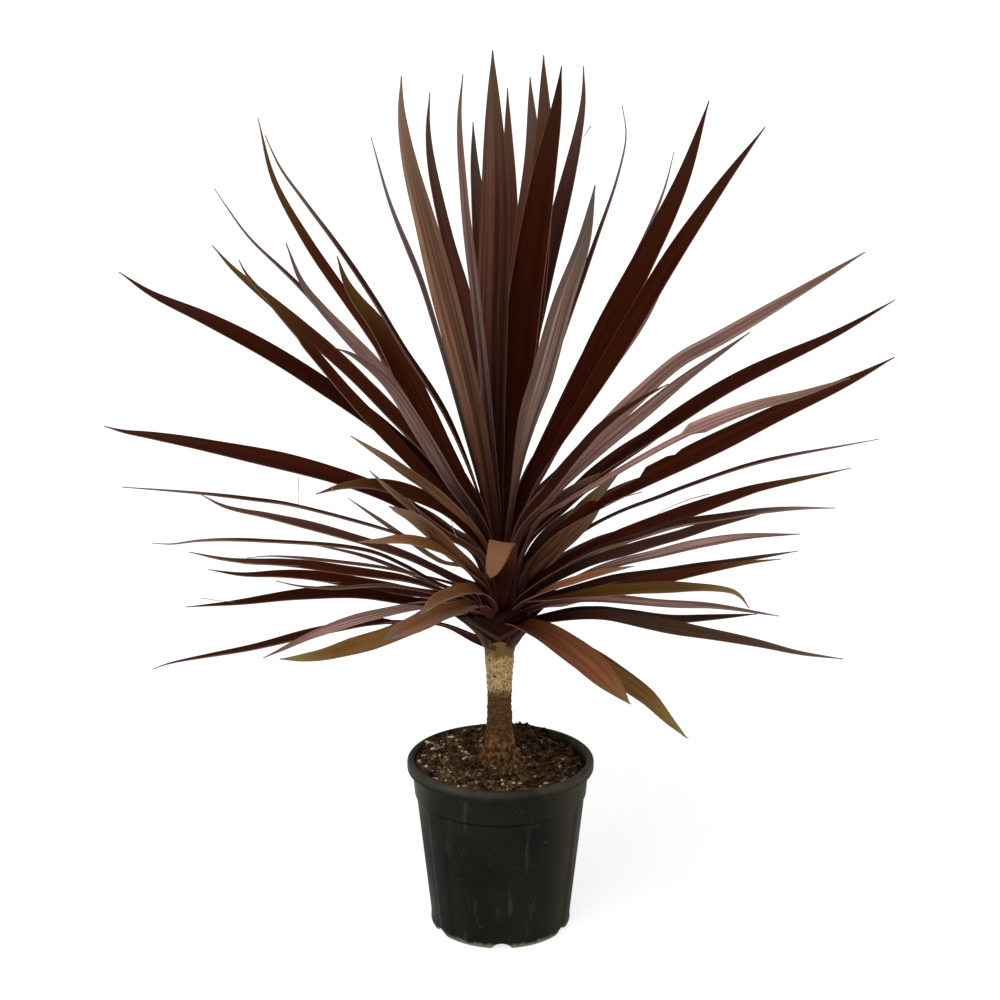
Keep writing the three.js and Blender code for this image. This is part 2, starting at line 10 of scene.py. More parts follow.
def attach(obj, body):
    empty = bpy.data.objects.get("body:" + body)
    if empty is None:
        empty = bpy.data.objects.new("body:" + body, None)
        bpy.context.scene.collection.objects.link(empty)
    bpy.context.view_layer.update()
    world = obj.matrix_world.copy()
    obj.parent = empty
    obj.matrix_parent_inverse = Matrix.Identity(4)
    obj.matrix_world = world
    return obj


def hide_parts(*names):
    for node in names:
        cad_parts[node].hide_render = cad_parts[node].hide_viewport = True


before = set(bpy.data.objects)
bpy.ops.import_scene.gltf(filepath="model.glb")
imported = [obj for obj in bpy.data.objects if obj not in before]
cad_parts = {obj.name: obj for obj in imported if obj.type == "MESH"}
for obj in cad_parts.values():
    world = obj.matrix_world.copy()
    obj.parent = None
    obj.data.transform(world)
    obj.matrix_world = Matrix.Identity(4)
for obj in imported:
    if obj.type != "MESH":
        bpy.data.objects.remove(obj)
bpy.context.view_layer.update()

MM = 0.001

# Pot
POT_HEIGHT = 180
RIM_RADIUS = 95
LIP_HEIGHT = 13
COLLAR_RADIUS = 89.5
COLLAR_FOOT = 142
COLLAR_FOOT_RADIUS = 87
FOOT_RADIUS = 72
FOOT_ROUND = 5
WALL = 2.4
FLOOR = 3
RIB_COUNT = 6
RIB_WIDTH_DEG = 14
RIB_TURN_DEG = -80
PANEL_DEPTH = 1.2
PANEL_FOOT = 10
NOTCH_COUNT = 6
NOTCH_WIDTH = 20
NOTCH_HEIGHT = 7
NOTCH_TURN_DEG = -89
POT_STEPS = 240

# Pale chips in the soil: place in the picture, size, and how pale
PALE_CHIPS = [
    ((428, 744), 4.0, 0.8),
    ((433, 751), 4.8, 0.9),
    ((440, 757), 3.7, 0.75),
    ((444, 746), 3.1, 0.7),
    ((451, 739), 4.0, 1.0),
    ((424, 757), 3.1, 0.7),
    ((502, 782), 2.5, 0.85),
    ((503, 786), 2.3, 0.85),
    ((514, 785), 2.3, 1.0),
    ((517, 782), 2.2, 1.0),
    ((520, 785), 2.3, 1.0),
    ((560, 768), 3.4, 0.7),
    ((548, 742), 3.1, 0.65),
    ((467, 776), 3.4, 0.65),
]

# Soil and cane: heights, how many of each small thing, and steps round each turned piece
SOIL_TOP = 169
CANE_RADIUS = 13.6
CANE_TOP = 297
CANE_CENTRE = -1
WAIST_HEIGHT = 238
PALE_BARK_FOOT = 259
CRUMB_COUNT = 7200
PALE_CRUMB_SHARE = 0.035
BARK_COUNT = 260
FIBRE_COUNT = 760
ROOT_COUNT = 320
RING_SPACING = 6.2
RING_LEDGE = 0.55
SOIL_STEPS = 160
CANE_STEPS = 72

# Head of leaves
CORE_FOOT = CANE_TOP + 0.35
CORE_SPLIT = CORE_FOOT + 19
CORE_TOP = CORE_FOOT + 53
SKIRT_ROOT = 6
CROWN_CLIMB = 0.33
CHANNEL = 0.16
BLADE_THICKNESS = 0.7
TIP_WIDTH = 1.0
WIDEST_AT = 0.55
BASE_WIDTH = 0.42
LOW_BASE_WIDTH = 0.62
NARROW_UNTIL = 0.24
# How strongly painted shade darkens the +x half of a steep blade's underside
PAINTED_RIGHT_HALF_SHADE = 0.48
ACROSS_STEPS = 10
ALONG_STEPS = 60

# The leaves are set out along sight lines, as in the solids: the eye stands in front of the pot, and
# each leaf has a run of places in a square picture 1000 wide
PICTURE_WIDTH = 1000
EYE = Vector((0, -1900, 948))
LOOK_DOWN_DEG = 14.7
FOCAL = 1996
PICTURE_CENTRE = (500.5, 500)
HEAD_BASE = (499.5, 612)
SENSOR = 36
FLOOR_REACH_M = 40
FLOOR_GREY = 0.36
FLOOR_GLOW = 0.78

# depth: how far behind the stem the tip lies. width: the blade's own width. seen: the share of it that
# shows, below zero where the underside shows. look: its colours. run: places along the midrib, with a
# third number where the depth there doesn't grow steadily. taper: high where the blade stays wide until
# near its tip. nicks: torn places on an edge, each a share of the length, a side and the part of the
# half width that is gone. base: the share of the width at the foot, for a blade that stays narrow there.
# across: the way across the blade, for one that folds over towards the eye.
Blade = namedtuple(
    "Blade",
    "depth width seen look run taper nicks base across",
    defaults=(2.1, (), 0, None),
)

UPRIGHT = [
    Blade(-30, 33, -0.9, "ribbed",
          [(495, 540), (493, 453), (492, 340), (495, 200), (492.7, 50)], taper=2.5),
    Blade(110, 32, 0.8, "umber",
          [(503, 540), (512, 453), (522, 376), (532, 300), (543.5, 140), (543.5, 55)], taper=2.6),
    Blade(40, 33, 0.97, "dark",
          [(503, 520), (509, 453), (517, 376), (525, 300), (543, 180), (556, 110), (561.5, 66)]),
    Blade(150, 28, 0.62, "mauve",
          [(505, 540), (523, 376), (537.5, 310), (552.5, 240), (574.5, 150), (583, 100), (583.5, 66)]),
    Blade(190, 32, 0.75, "mauve",
          [(500, 540), (508, 453), (516, 340), (526, 225), (532, 150), (530, 77)], taper=2.6),
    Blade(230, 32, 0.7, "umber", [(498, 540), (503, 453), (506, 340), (509, 200), (508, 140), (507.5, 88)]),
    Blade(-110, 24, -0.4, "pink",
          [(494, 500), (483, 360), (476, 300), (464.5, 200), (459.5, 120), (463, 74)]),
    Blade(90, 28, 0.5, "mauve",
          [(495, 500), (480, 376), (465, 300), (448.5, 240), (431, 160), (428, 125), (430, 92)]),
    Blade(-140, 30, -0.78, "tan",
          [(494, 540), (477, 430), (456, 340), (430, 240), (409, 160), (401.5, 110), (401.5, 76)]),
    Blade(170, 30, 0.6, "mauve",
          [(497, 540), (494, 453), (487.5, 340), (478, 200), (474.5, 160), (473, 122)], taper=2.8),
    Blade(120, 17, -0.3, "thin", [(488, 520), (464, 425), (440, 340), (420, 278), (390, 203), (371, 137)]),
    Blade(-240, 27, -0.75, "grey",
          [(512, 500), (528, 420), (541.5, 376), (563.5, 300), (584, 240), (595, 185)],
          taper=2.5, base=0.22),
    Blade(60, 18, 0.3, "thin",
          [(511, 510), (535.5, 412), (562, 335), (592, 250), (617, 178), (626, 135), (622, 105)],
          taper=1.2),
]

HIGH_RIGHT = [
    Blade(80, 27, 0.9, "dark", [(521, 500), (563.3, 420), (601, 342), (644, 260), (682, 180), (709, 101)]),
    Blade(-50, 26, 0.7, "dark",
          [(528, 497), (555, 448), (576, 415), (633, 322), (683, 240), (725, 180), (765, 127)], base=0.3),
    Blade(330, 24, -0.5, "mauve",
          [(518, 525), (544, 471), (560, 440), (588, 398), (643, 320), (673, 266)], base=0.3),
    Blade(260, 22, 0.4, "thin", [(513, 520), (572, 382), (638, 252), (664, 190), (674, 152)], taper=1.0),
    Blade(-170, 30, -0.5, "pink",
          [(520, 520), (567, 468), (602, 431), (640, 394), (680, 360), (720, 338), (800, 291), (865, 252)],
          base=0.3),
    Blade(-330, 17, 0.5, "dark", [(516, 532), (545, 494), (599, 429), (640, 400), (668, 384)]),
    Blade(-280, 20, -0.55, "mauve",
          [(522, 530), (547, 503), (563, 484), (588, 459), (637, 417), (689, 375), (750, 332)], base=0.4),
    Blade(120, 29, 0.5, "dark",
          [(522, 546), (560, 508), (580, 489), (600, 471),
           (660, 428.5), (735, 381), (830, 336.5), (895, 300)],
          base=0.34),
    Blade(-60, 32, 0.6, "dark",
          [(540, 546), (600, 501), (680, 460), (760, 421), (850, 380.5), (895, 357)],
          nicks=((0.03, 0.3, 1, 0.4), (0.32, 0.44, 1, 0.85), (0.51, 0.525, 1, 0.3))),
    Blade(-200, 28, -0.5, "pink",
          [(537, 521), (562, 503), (600, 480.5), (640, 457), (680, 435.5),
           (720, 418), (760, 404), (800, 394), (850, 378)],
          nicks=((0.06, 0.65, 1, 0.8), (0.06, 0.65, -1, 0.8))),
    Blade(60, 26, -0.7, "dusty", [(520, 590), (541, 564), (562, 541), (581, 523), (600, 508)], taper=5),
    Blade(40, 26, -0.5, "dusty", [(524, 572), (552, 543), (580, 511), (618, 474)], taper=3),
    Blade(20, 16, -0.5, "deep",
          [(517, 545), (531, 524), (553, 503), (576, 487), (600, 473)], taper=4, base=0.4),
]

HIGH_LEFT = [
    Blade(130, 24, 0.42, "brown",
          [(485, 525), (446, 454), (375, 340), (346.5, 299), (307.3, 240.4), (274, 180), (258, 118)]),
    Blade(-120, 20, 0.23, "thin",
          [(490, 530), (449, 420), (404, 348), (377, 302.5),
           (339, 246.5), (304, 200), (280, 167), (265, 135)]),
    Blade(230, 18, 0.22, "thin",
          [(488, 535), (415, 420), (301, 287.5), (249.3, 237), (229, 210), (214, 188)]),
    Blade(90, 28, 0.5, "brown",
          [(487, 540), (426, 448), (387, 407), (349, 368.5),
           (291, 317.3), (248, 282), (230, 265.5), (212, 245)]),
    Blade(-130, 26, 0.45, "brown",
          [(475, 530), (413, 462), (348, 393), (305, 343), (264, 295.5), (245, 272), (239, 260)],
          nicks=((0.79, 0.93, 1, 0.5),)),
    Blade(-240, 19, -0.6, "mauve",
          [(482, 530), (430, 450), (388, 380), (347, 335), (322, 308), (301.8, 281.3), (286, 243)]),
    Blade(-340, 24, -0.5, "mauve", [(484, 535), (450, 480), (393, 389), (353, 355), (335, 348)]),
    Blade(-40, 30, 0.75, "brown",
          [(482, 530), (440, 445), (408, 380), (388, 342),
           (373, 319), (358.5, 301.5), (346.5, 283), (337, 256)]),
    Blade(150, 30, 0.6, "dark",
          [(485, 537), (409.5, 450.5), (310, 376.5), (210, 320), (150, 292.5), (119, 272)]),
    Blade(100, 28, 0.6, "dark",
          [(485, 562), (440, 527), (387, 495), (300, 465.5),
           (200, 443.5), (150, 435), (122, 431), (104, 426)]),
    Blade(-300, 26, 0.46, "brown",
          [(484, 551), (456, 517), (420, 496), (374, 484.5), (345, 486), (316, 494)]),
    Blade(-360, 17, -0.5, "dusty", [(485, 545), (445, 501), (395, 464), (351, 436)], base=0.4),
    Blade(-330, 13, -0.5, "dusty", [(484, 560), (440, 530), (393, 492), (370, 471)], base=0.5),
    Blade(-320, 22, -0.6, "dusty", [(480, 580), (446, 546), (414, 518), (389, 506)], taper=2.5),
    Blade(-290, 13, -0.5, "deep", [(478, 573), (453, 553), (431, 531), (409, 499)]),
]

LOW_LEFT = [
    Blade(380, 16, 0.3, "grey", [(480, 575), (440, 560), (396, 531), (348, 498)]),
    Blade(-230, 12, 0.22, "thin",
          [(482, 580), (430, 546), (400, 534), (368, 524), (290, 504), (253, 499), (200, 493), (122, 487)]),
    Blade(270, 26, 0.32, "mauve",
          [(482, 592), (456, 579), (433, 567), (407, 555), (358, 539),
           (266, 515), (240, 510), (222, 505), (200, 494)]),
    Blade(-412, 21, 0.4, "tan",
          [(486, 594), (470, 569), (450, 552), (429, 544), (405, 540), (380, 541), (359, 542)]),
    Blade(60, 14, 0.24, "thin",
          [(478, 604), (430, 580), (404, 565), (368, 550),
           (253, 540), (200, 540.5), (170, 544), (152, 543)]),
    Blade(330, 12, 0.3, "thin", [(480, 602), (430, 582), (368, 557), (299, 541)]),
    Blade(-170, 24, 0.33, "brown",
          [(478, 604), (434, 587), (407, 579), (381, 575),
           (350, 570.5), (283, 562), (228, 559.5), (189, 552)],
          taper=1.7),
    Blade(290, 10, 0.3, "grey", [(478, 598), (405, 572), (342, 562), (270, 556), (247, 558)]),
    Blade(20, 26, 0.42, "dark",
          [(470, 604), (400, 589), (360, 583), (320, 576.5), (280, 574), (240, 574), (208, 569.5)],
          taper=1.5),
    Blade(-200, 9, 0.3, "grey", [(470, 605), (395, 586), (330, 588), (300, 586), (276, 581)]),
    Blade(-120, 26, 0.42, "dark",
          [(478, 609), (430, 603), (400, 599), (368, 594),
           (335, 592), (300, 594), (245, 601.5), (186, 607)],
          taper=1.4),
    Blade(90, 24, 0.32, "dark",
          [(478, 636), (442, 623.5), (400, 621), (368, 622),
           (335, 627.5), (250, 647.5), (170, 663), (153, 669)],
          taper=1.5, nicks=((0.0, 0.3, 1, 0.7), (0.0, 0.3, -1, 0.7))),
    Blade(-90, 26, -0.35, "pink",
          [(478, 607), (425, 605), (380, 613.5), (320, 631.5), (280, 650), (263, 658)]),
]

LOW_RIGHT = [
    Blade(260, 14, 0.24, "thin",
          [(520, 582), (560, 547), (587, 528), (620, 511), (660, 496), (680, 488), (755, 463), (879, 439)]),
    Blade(120, 30, 0.5, "brown",
          [(518, 596), (560, 564), (600, 543.5), (640, 528),
           (700, 507), (740, 493.5), (758, 488), (851, 468)],
          taper=0.95),
    Blade(340, 24, -0.42, "olive", [(518, 595), (590, 556), (665, 523), (735, 498)]),
    Blade(-230, 24, 0.22, "thin",
          [(520, 598), (589, 552), (640, 535), (680, 523),
           (720, 516.5), (760, 511), (800, 508), (835, 508)]),
    Blade(230, 26, 0.42, "mauve",
          [(520, 602), (580, 566), (640, 545.5), (680, 534), (705, 526.5), (740, 518), (770, 511)]),
    Blade(-150, 26, -0.3, "pink",
          [(518, 608), (580, 576), (620, 562), (660, 552.5), (700, 543.5), (740, 536.5), (800, 534)]),
    Blade(-360, 16, 0.35, "rust", [(520, 605), (545, 590), (600, 573), (634, 566)]),
    Blade(150, 24, 0.35, "mauve",
          [(518, 612), (600, 582), (679, 569), (750, 558.5), (798, 551)], taper=1.6),
    Blade(-60, 24, 0.4, "brown", [(518, 615), (600, 590), (679, 575), (745, 563), (781, 559)], taper=1.5),
    Blade(-220, 22, -0.32, "mauve",
          [(520, 612), (580, 599), (660, 602.5), (717, 606), (779, 616)], taper=1.7),
    Blade(200, 26, 0.35, "dark",
          [(518, 626), (566, 612.5), (600, 610.5), (630, 614), (660, 617), (691, 618), (757, 614)]),
    Blade(-110, 30, 0.42, "grey",
          [(520, 626), (560, 617.5), (600, 614.5), (640, 620.5),
           (720, 635.5), (760, 643.5), (800, 653), (843, 659)],
          taper=1.2),
]

FOLDED = [
    Blade(-330, 30, 0.6, "tan",
          [(480, 604), (455, 608), (440, 612), (425, 619), (410, 627), (395, 634.5), (384, 640)]),
    Blade(-260, 24, 0.5, "tan", [(486, 592), (470, 588), (445, 596), (420, 615)]),
    Blade(-210, 24.5, 0.95, "pale",
          [(503, 575, -60), (503, 551, -150), (501.5, 542, -192), (496.5, 558, -210), (490, 578)],
          taper=4.5, across=(1, 0, -0.18)),
    Blade(-290, 26, 0.38, "mossy",
          [(520, 605), (560, 597), (640, 588), (695, 587), (720, 589), (733, 592), (741, 597), (749, 608)]),
]

OLD = {
    "old_leaf_left": Blade(
        -260, 30, 0.55, "olive",
        [(470, 608), (420, 622), (385, 635.5), (360, 644.5), (325, 655), (300, 658.5), (280, 659)],
        taper=1.8,
    ),
    "old_leaf_hanging": Blade(
        -130, 30, 0.62, "olive",
        [(522, 624), (552, 632), (580, 648), (605, 666), (630, 684), (650, 700), (670, 721), (687, 738)],
        base=0.4,
    ),
    "old_leaf_right": Blade(
        -250, 30, 0.85, "rust",
        [(512, 622), (540, 629), (585, 659), (612, 686), (630, 704)],
    ),
}

# Old leaf bases round the top of the cane: azimuth in degrees from +X, height of the foot, look
SHEATHS = [
    (-168, 300, "sheath"),
    (-12, 301, "plum"),
    (150, 300, "sheath"),
    (90, 301, "sheath"),
    (35, 300, "sheath"),
    (-158, 304, "inside"),
    (-22, 305, "inside"),
    (170, 307, "inside"),
    (5, 308, "inside"),
    (120, 308, "inside"),
    (60, 310, "inside"),
    (-150, 308, "sheath"),
    (-34, 310, "plum"),
    (-140, 312, "inside"),
    (-48, 314, "inside"),
    (-125, 316, "inside"),
    (-64, 319, "inside"),
]
SHEATH_LOWEST = 300
SHEATH_HEIGHT = 33
SHEATH_FOOT_TURN = 82
SHEATH_TOP_TURN = 2
SHEATH_ACROSS_STEPS = 18
SHEATH_ALONG_STEPS = 14
FLARE_FOOT = 288
FLARE_RATE = 0.0155

# Threads and hairs: depth, thickness, and places in the picture
THREADS = [
    (150, 1.4, [(591, 126), (588, 130), (583, 138)]),
    (-120, 0.8, [(202, 598), (217, 600.5), (234, 602)]),
    (100, 1.2, [(709, 494), (690, 499), (672, 506), (657, 514)]),
    (-230, 0.7, [(355, 329), (350, 331), (344, 327)]),
    (-300, 0.7, [(330, 486), (334, 491), (339, 493)]),
    (-100, 0.8, [(298, 477), (299, 495), (297, 515)]),
    (-300, 0.8, [(451, 519), (453, 529), (457, 538)]),
    (-170, 0.8, [(222, 560), (249, 564.5), (300, 566)]),
    (-190, 0.8, [(316, 581), (326, 582), (340, 583)]),
    (-60, 1.2, [(642, 492), (624, 497), (604, 506)]),
    (-130, 0.8, [(678, 730), (683, 736), (690, 738)]),
    (-250, 0.8, [(624, 700), (628, 703), (632, 704)]),
    (-16, 0.7, [(513, 661), (515.5, 662), (518.5, 661.5)]),
]

# Leaves on the far side. Each lies on the sight line of the first share of one in front, at a depth
# of its own.
FAR_WIDTH = 28
FAR_SEEN = 0.6
FAR = [
    (UPRIGHT[0], 0.5, 430),
    (UPRIGHT[2], 0.8, 330),
    (UPRIGHT[2], 0.32, 500),
    (UPRIGHT[1], 0.6, 420),
    (UPRIGHT[8], 0.72, 340),
    (UPRIGHT[8], 0.4, 460),
    (UPRIGHT[6], 0.22, 500),
    (HIGH_RIGHT[0], 0.7, 340),
    (HIGH_RIGHT[0], 0.42, 450),
    (HIGH_RIGHT[4], 0.55, 400),
    (HIGH_RIGHT[7], 0.6, 380),
    (HIGH_RIGHT[8], 0.45, 430),
    (HIGH_LEFT[0], 0.62, 380),
    (HIGH_LEFT[3], 0.72, 340),
    (HIGH_LEFT[7], 0.5, 430),
    (HIGH_LEFT[8], 0.6, 380),
    (HIGH_LEFT[9], 0.42, 430),
    (LOW_RIGHT[1], 0.5, 430),
    (LOW_RIGHT[8], 0.35, 440),
    (LOW_LEFT[8], 0.3, 440),
]

# Colours of each look, as 0 to 255: upper face, underside, tip
LOOKS = {
    "dark": ((47, 16, 4), (98, 68, 58), (54, 30, 18)),
    "brown": ((64, 28, 13), (106, 76, 64), (96, 74, 36)),
    "umber": ((62, 27, 15), (100, 72, 60), (78, 56, 42)),
    "ribbed": ((66, 34, 24), (78, 48, 38), (84, 68, 52)),
    "mauve": ((72, 42, 32), (102, 79, 73), (82, 66, 58)),
    "pink": ((84, 50, 40), (134, 106, 98), (104, 78, 64)),
    "grey": ((78, 58, 44), (118, 97, 86), (88, 78, 70)),
    "tan": ((134, 91, 54), (118, 87, 68), (122, 98, 80)),
    "pale": ((110, 75, 50), (52, 22, 14), (120, 84, 58)),
    "olive": ((112, 82, 45), (112, 88, 52), (140, 128, 66)),
    "rust": ((118, 74, 49), (112, 74, 52), (116, 94, 54)),
    "mossy": ((78, 56, 24), (84, 62, 36), (122, 102, 50)),
    "dusty": ((76, 48, 34), (98, 68, 46), (122, 104, 80)),
    "deep": ((46, 16, 6), (60, 32, 24), (92, 74, 54)),
    "thin": ((48, 24, 17), (92, 76, 72), (112, 104, 100)),
    "sheath": ((58, 42, 27),) * 3,
    "plum": ((54, 33, 30),) * 3,
    "inside": ((32, 12, 8),) * 3,
}


def colour(red, green, blue):
    """A colour given as 0 to 255 on a screen, as the linear colour that shaders take."""
    parts = []
    for value in (red, green, blue):
        share = value / 255
        parts.append(share / 12.92 if share <= 0.04045 else ((share + 0.055) / 1.055) ** 2.4)
    return (*parts, 1.0)


def smoothstep(value, low, high):
    share = min(max((value - low) / (high - low), 0), 1)
    return share * share * (3 - 2 * share)


def blend(low, high, share):
    return low + (high - low) * share


# Where things are

def seen_at(spot, depth):
    """The point of the upright plane at a depth that the eye sees at a place of the picture."""
    pitch = math.radians(LOOK_DOWN_DEG)
    across = spot[0] - PICTURE_CENTRE[0]
    down = spot[1] - PICTURE_CENTRE[1]
    ahead = FOCAL * math.cos(pitch) - down * math.sin(pitch)
    rise = -FOCAL * math.sin(pitch) - down * math.cos(pitch)
    ray = Vector((across, ahead, rise))
    return EYE + ray * ((depth - EYE.y) / ray.y)


def shares_of(run):
    """Share of the run covered at each of its places, measured in the picture."""
    shares = []
    length = 0
    last = HEAD_BASE
    for spot in run:
        length += math.hypot(spot[0] - last[0], spot[1] - last[1])
        shares.append(length)
        last = spot
    return [share / length for share in shares]


def shortened(run, share):
    """First part of a run, ending at a share of its length."""
    shares = shares_of(run)
    kept = [spot for spot, at in zip(run, shares) if at < share - 0.08]
    following = len(kept)
    before = shares[following - 1] if following else 0
    start = run[following - 1] if following else HEAD_BASE
    part = (share - before) / (shares[following] - before)
    kept.append(tuple(blend(start[k], run[following][k], part) for k in (0, 1)))
    return kept


def midrib(leaf):
    """Points from the root, sunk in the head's core, to the tip, the way outward, and if it climbs."""
    shares = shares_of(leaf.run)
    tip = seen_at(leaf.run[-1], leaf.depth)
    outward = Vector((tip.x - CANE_CENTRE, tip.y, 0))
    climb = math.atan2(tip.z - CORE_FOOT, outward.length)
    outward.normalize()
    in_crown = climb > CROWN_CLIMB
    level = min(max(climb / 1.35, 0.05), 1)
    root = Vector((CANE_CENTRE, 0, 0)) + outward * (9 - 6 * level if in_crown else SKIRT_ROOT)
    if in_crown:
        rise = (climb - CROWN_CLIMB) / (1.5 - CROWN_CLIMB)
        root.z = blend(CORE_SPLIT + 5, CORE_TOP - 4, rise)
    else:
        rise = min(max((climb + 0.3) / (CROWN_CLIMB + 0.3), 0), 1)
        root.z = blend(CORE_FOOT + 4, CORE_SPLIT - 7, rise)
    course = [root]
    for spot, share in zip(leaf.run, shares):
        steady = root.y + (leaf.depth - root.y) * share ** 1.15
        course.append(seen_at(spot, spot[2] if len(spot) > 2 else steady))
    return course, outward, in_crown


def smooth_line(course, steps):
    """Evenly spaced points on a smooth curve through the points of a course."""
    ends = [course[0] * 2 - course[1], *course, course[-1] * 2 - course[-2]]
    fine = []
    for k in range(len(course) - 1):
        before, start, stop, after = ends[k : k + 4]
        first, span, last = [
            max((b - a).length, 1e-6) ** 0.5 for a, b in ((before, start), (start, stop), (stop, after))
        ]
        leave = (start - before) / first - (stop - before) / (first + span) + (stop - start) / span
        arrive = (stop - start) / span - (after - start) / (span + last) + (after - stop) / last
        leave = leave * span
        arrive = arrive * span
        for i in range(24):
            t = i / 24
            fine.append(
                start
                + leave * t
                + (start * -3 + stop * 3 - leave * 2 - arrive) * t**2
                + (start * 2 - stop * 2 + leave + arrive) * t**3
            )
    fine.append(course[-1].copy())
    lengths = [0]
    for a, b in zip(fine, fine[1:]):
        lengths.append(lengths[-1] + (b - a).length)
    points = []
    k = 0
    for i in range(steps + 1):
        wanted = lengths[-1] * i / steps
        while k < len(fine) - 2 and lengths[k + 1] < wanted:
            k += 1
        part = (wanted - lengths[k]) / max(lengths[k + 1] - lengths[k], 1e-9)
        points.append(fine[k].lerp(fine[k + 1], part))
    return points


def upper_face(point, along, outward, share, seen):
    """Direction of the upper face: towards the stem at the base, turned to the eye further out."""
    climb = math.asin(min(max(along.z, -1), 1))
    rest = Vector((0, 0, math.cos(climb))) - outward * math.sin(climb)
    rest = (rest - along * rest.dot(along)).normalized()
    sight = EYE - point
    sight = (sight - along * sight.dot(along)).normalized()
    aside = sight.cross(along).normalized()
    if aside.dot(rest) < 0:
        aside = -aside
    turn = math.acos(seen)
    shown = sight * math.cos(turn) + aside * math.sin(turn)
    return rest.lerp(shown, smoothstep(share, 0.05, 0.4)).normalized()


# Shader parts

def feed(tree, socket, value):
    if isinstance(value, bpy.types.NodeSocket):
        tree.links.new(value, socket)
    else:
        socket.default_value = value


def add_node(tree, kind, values, **settings):
    node = tree.nodes.new("ShaderNode" + kind)
    for key, value in settings.items():
        setattr(node, key, value)
    for socket, value in values.items():
        feed(tree, node.inputs[socket], value)
    return node


def calc(tree, operation, *values):
    return add_node(tree, "Math", dict(enumerate(values)), operation=operation).outputs[0]


def times(tree, first, second):
    return calc(tree, "MULTIPLY", first, second)


def ease(tree, value, low, high, start=0.0, stop=1.0):
    """From start to stop as the value goes from low to high, with soft ends."""
    values = {"Value": value, 1: low, 2: high, 3: start, 4: stop}
    return add_node(tree, "MapRange", values, interpolation_type="SMOOTHSTEP").outputs[0]


def mix(tree, factor, first, second, kind="MIX"):
    values = {0: factor, 6: first, 7: second}
    node = add_node(tree, "Mix", values, data_type="RGBA", blend_type=kind, clamp_factor=True)
    return node.outputs[2]


def stained(tree, shade, *stains):
    """Lays tints on a shade, each as a value goes from low to high, and no stronger than its most."""
    for value, low, high, most, tint in stains:
        shade = mix(tree, ease(tree, value, low, high, 0.0, most), shade, tint)
    return shade


def attribute(tree, name, output):
    return add_node(tree, "Attribute", {}, attribute_name=name).outputs[output]


def grain(tree, where, scale, detail=3.0, roughness=0.55):
    values = {"Vector": where, "Scale": scale, "Detail": detail, "Roughness": roughness}
    return add_node(tree, "TexNoise", values).outputs[0]


def vector(tree, *parts):
    return add_node(tree, "CombineXYZ", dict(enumerate(parts))).outputs[0]


def place(tree):
    return tree.nodes.new("ShaderNodeTexCoord").outputs["Object"]


def raise_by(tree, shader, height, strength, distance):
    values = {"Height": height, "Strength": strength, "Distance": distance * MM}
    feed(tree, shader.inputs["Normal"], add_node(tree, "Bump", values).outputs[0])


def new_material(name, roughness, gloss):
    material = bpy.data.materials.new(name)
    material.use_nodes = True
    shader = material.node_tree.nodes["Principled BSDF"]
    shader.inputs["Roughness"].default_value = roughness
    shader.inputs["Specular IOR Level"].default_value = gloss
    return material, material.node_tree, shader


def leaf_skin(name, layer, ribs, contrast, deepening, roughness, gloss):
    """Leaf skin with veins along the blade, its lighter streaks partly its own veining and partly painted
    sheen. The colour comes from a layer of the mesh.
    """
    material, tree, shader = new_material(name, roughness, gloss)
    spot = tree.nodes.new("ShaderNodeUVMap").outputs[0]
    parts = add_node(tree, "SeparateXYZ", {0: spot})
    across = parts.outputs[0]
    along = parts.outputs[1]
    seed = attribute(tree, "seed", "Fac")
    shift = times(tree, seed, 50.0)
    from_rib = calc(tree, "ABSOLUTE", calc(tree, "SUBTRACT", across, 0.5))

    broad = grain(tree, vector(tree, times(tree, across, 4.6), along, shift), 1.6, 2.0)
    fine = grain(tree, vector(tree, times(tree, across, 46.0), along, shift), 1.5, 3.0, 0.7)
    blotch = grain(tree, vector(tree, across, times(tree, along, 9.0), shift), 1.3, 3.0)

    skin = attribute(tree, layer, "Color")
    lighter = [1 + contrast] * 3
    darker = [1 - part * contrast for part in (0.5, 0.55, 0.6)]
    light = mix(tree, 1.0, skin, (*lighter, 1.0), "MULTIPLY")
    dark = mix(tree, 1.0, skin, (*darker, 1.0), "MULTIPLY")
    redder = mix(tree, 1.0, skin, (1.18, 0.9, 0.82, 1.0), "MULTIPLY")
    shade = stained(
        tree,
        mix(tree, ease(tree, broad, 0.42, 0.58), dark, light),
        # Painted sheen: the fine lighter streaks stand in partly for gloss on the blade and partly for its
        # veins.
        (fine, 0.45, 0.75, 0.5, light),
        (fine, 0.5, 0.25, 0.5, dark),
        (blotch, 0.4, 0.75, 0.6, redder),
        (from_rib, 0.05, 0.012, 0.4, mix(tree, 0.8, light, redder)),
        (along, 0.7, 0.985, 0.85, attribute(tree, "tip", "Color")),
    )
    inner = mix(tree, 1.0, shade, (0.42, 0.25, 0.22, 1.0), "MULTIPLY")
    shade = stained(
        tree,
        shade,
        (along, 0.56, 0.22, deepening, inner),
        (along, 0.4, 0.1, 0.85, colour(50, 20, 13)),
        (from_rib, 0.475, 0.498, 0.55, colour(122, 84, 68)),
    )
    feed(tree, shader.inputs["Base Color"], shade)
    feed(tree, shader.inputs["Roughness"], ease(tree, fine, 0.3, 0.7, roughness - 0.06, roughness + 0.1))
    height = calc(tree, "ADD", times(tree, broad, 0.8), times(tree, fine, 0.5))
    raise_by(tree, shader, height, ribs, 1.2)
    return material


def mottled(name, roughness, gloss, scale, darker, lighter):
    """A plain look that wanders between two colours."""
    material, tree, shader = new_material(name, roughness, gloss)
    shade = mix(tree, grain(tree, place(tree), scale), colour(*darker), colour(*lighter))
    feed(tree, shader.inputs["Base Color"], shade)
    return material


# Making pieces

def finish_piece(mesh_object, slot_name, *nodes):
    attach(mesh_object, "root")
    if nodes:
        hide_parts(*nodes)
    return mesh_object


def new_object(name, data):
    made = bpy.data.objects.new(name, data)
    bpy.context.scene.collection.objects.link(made)
    return made


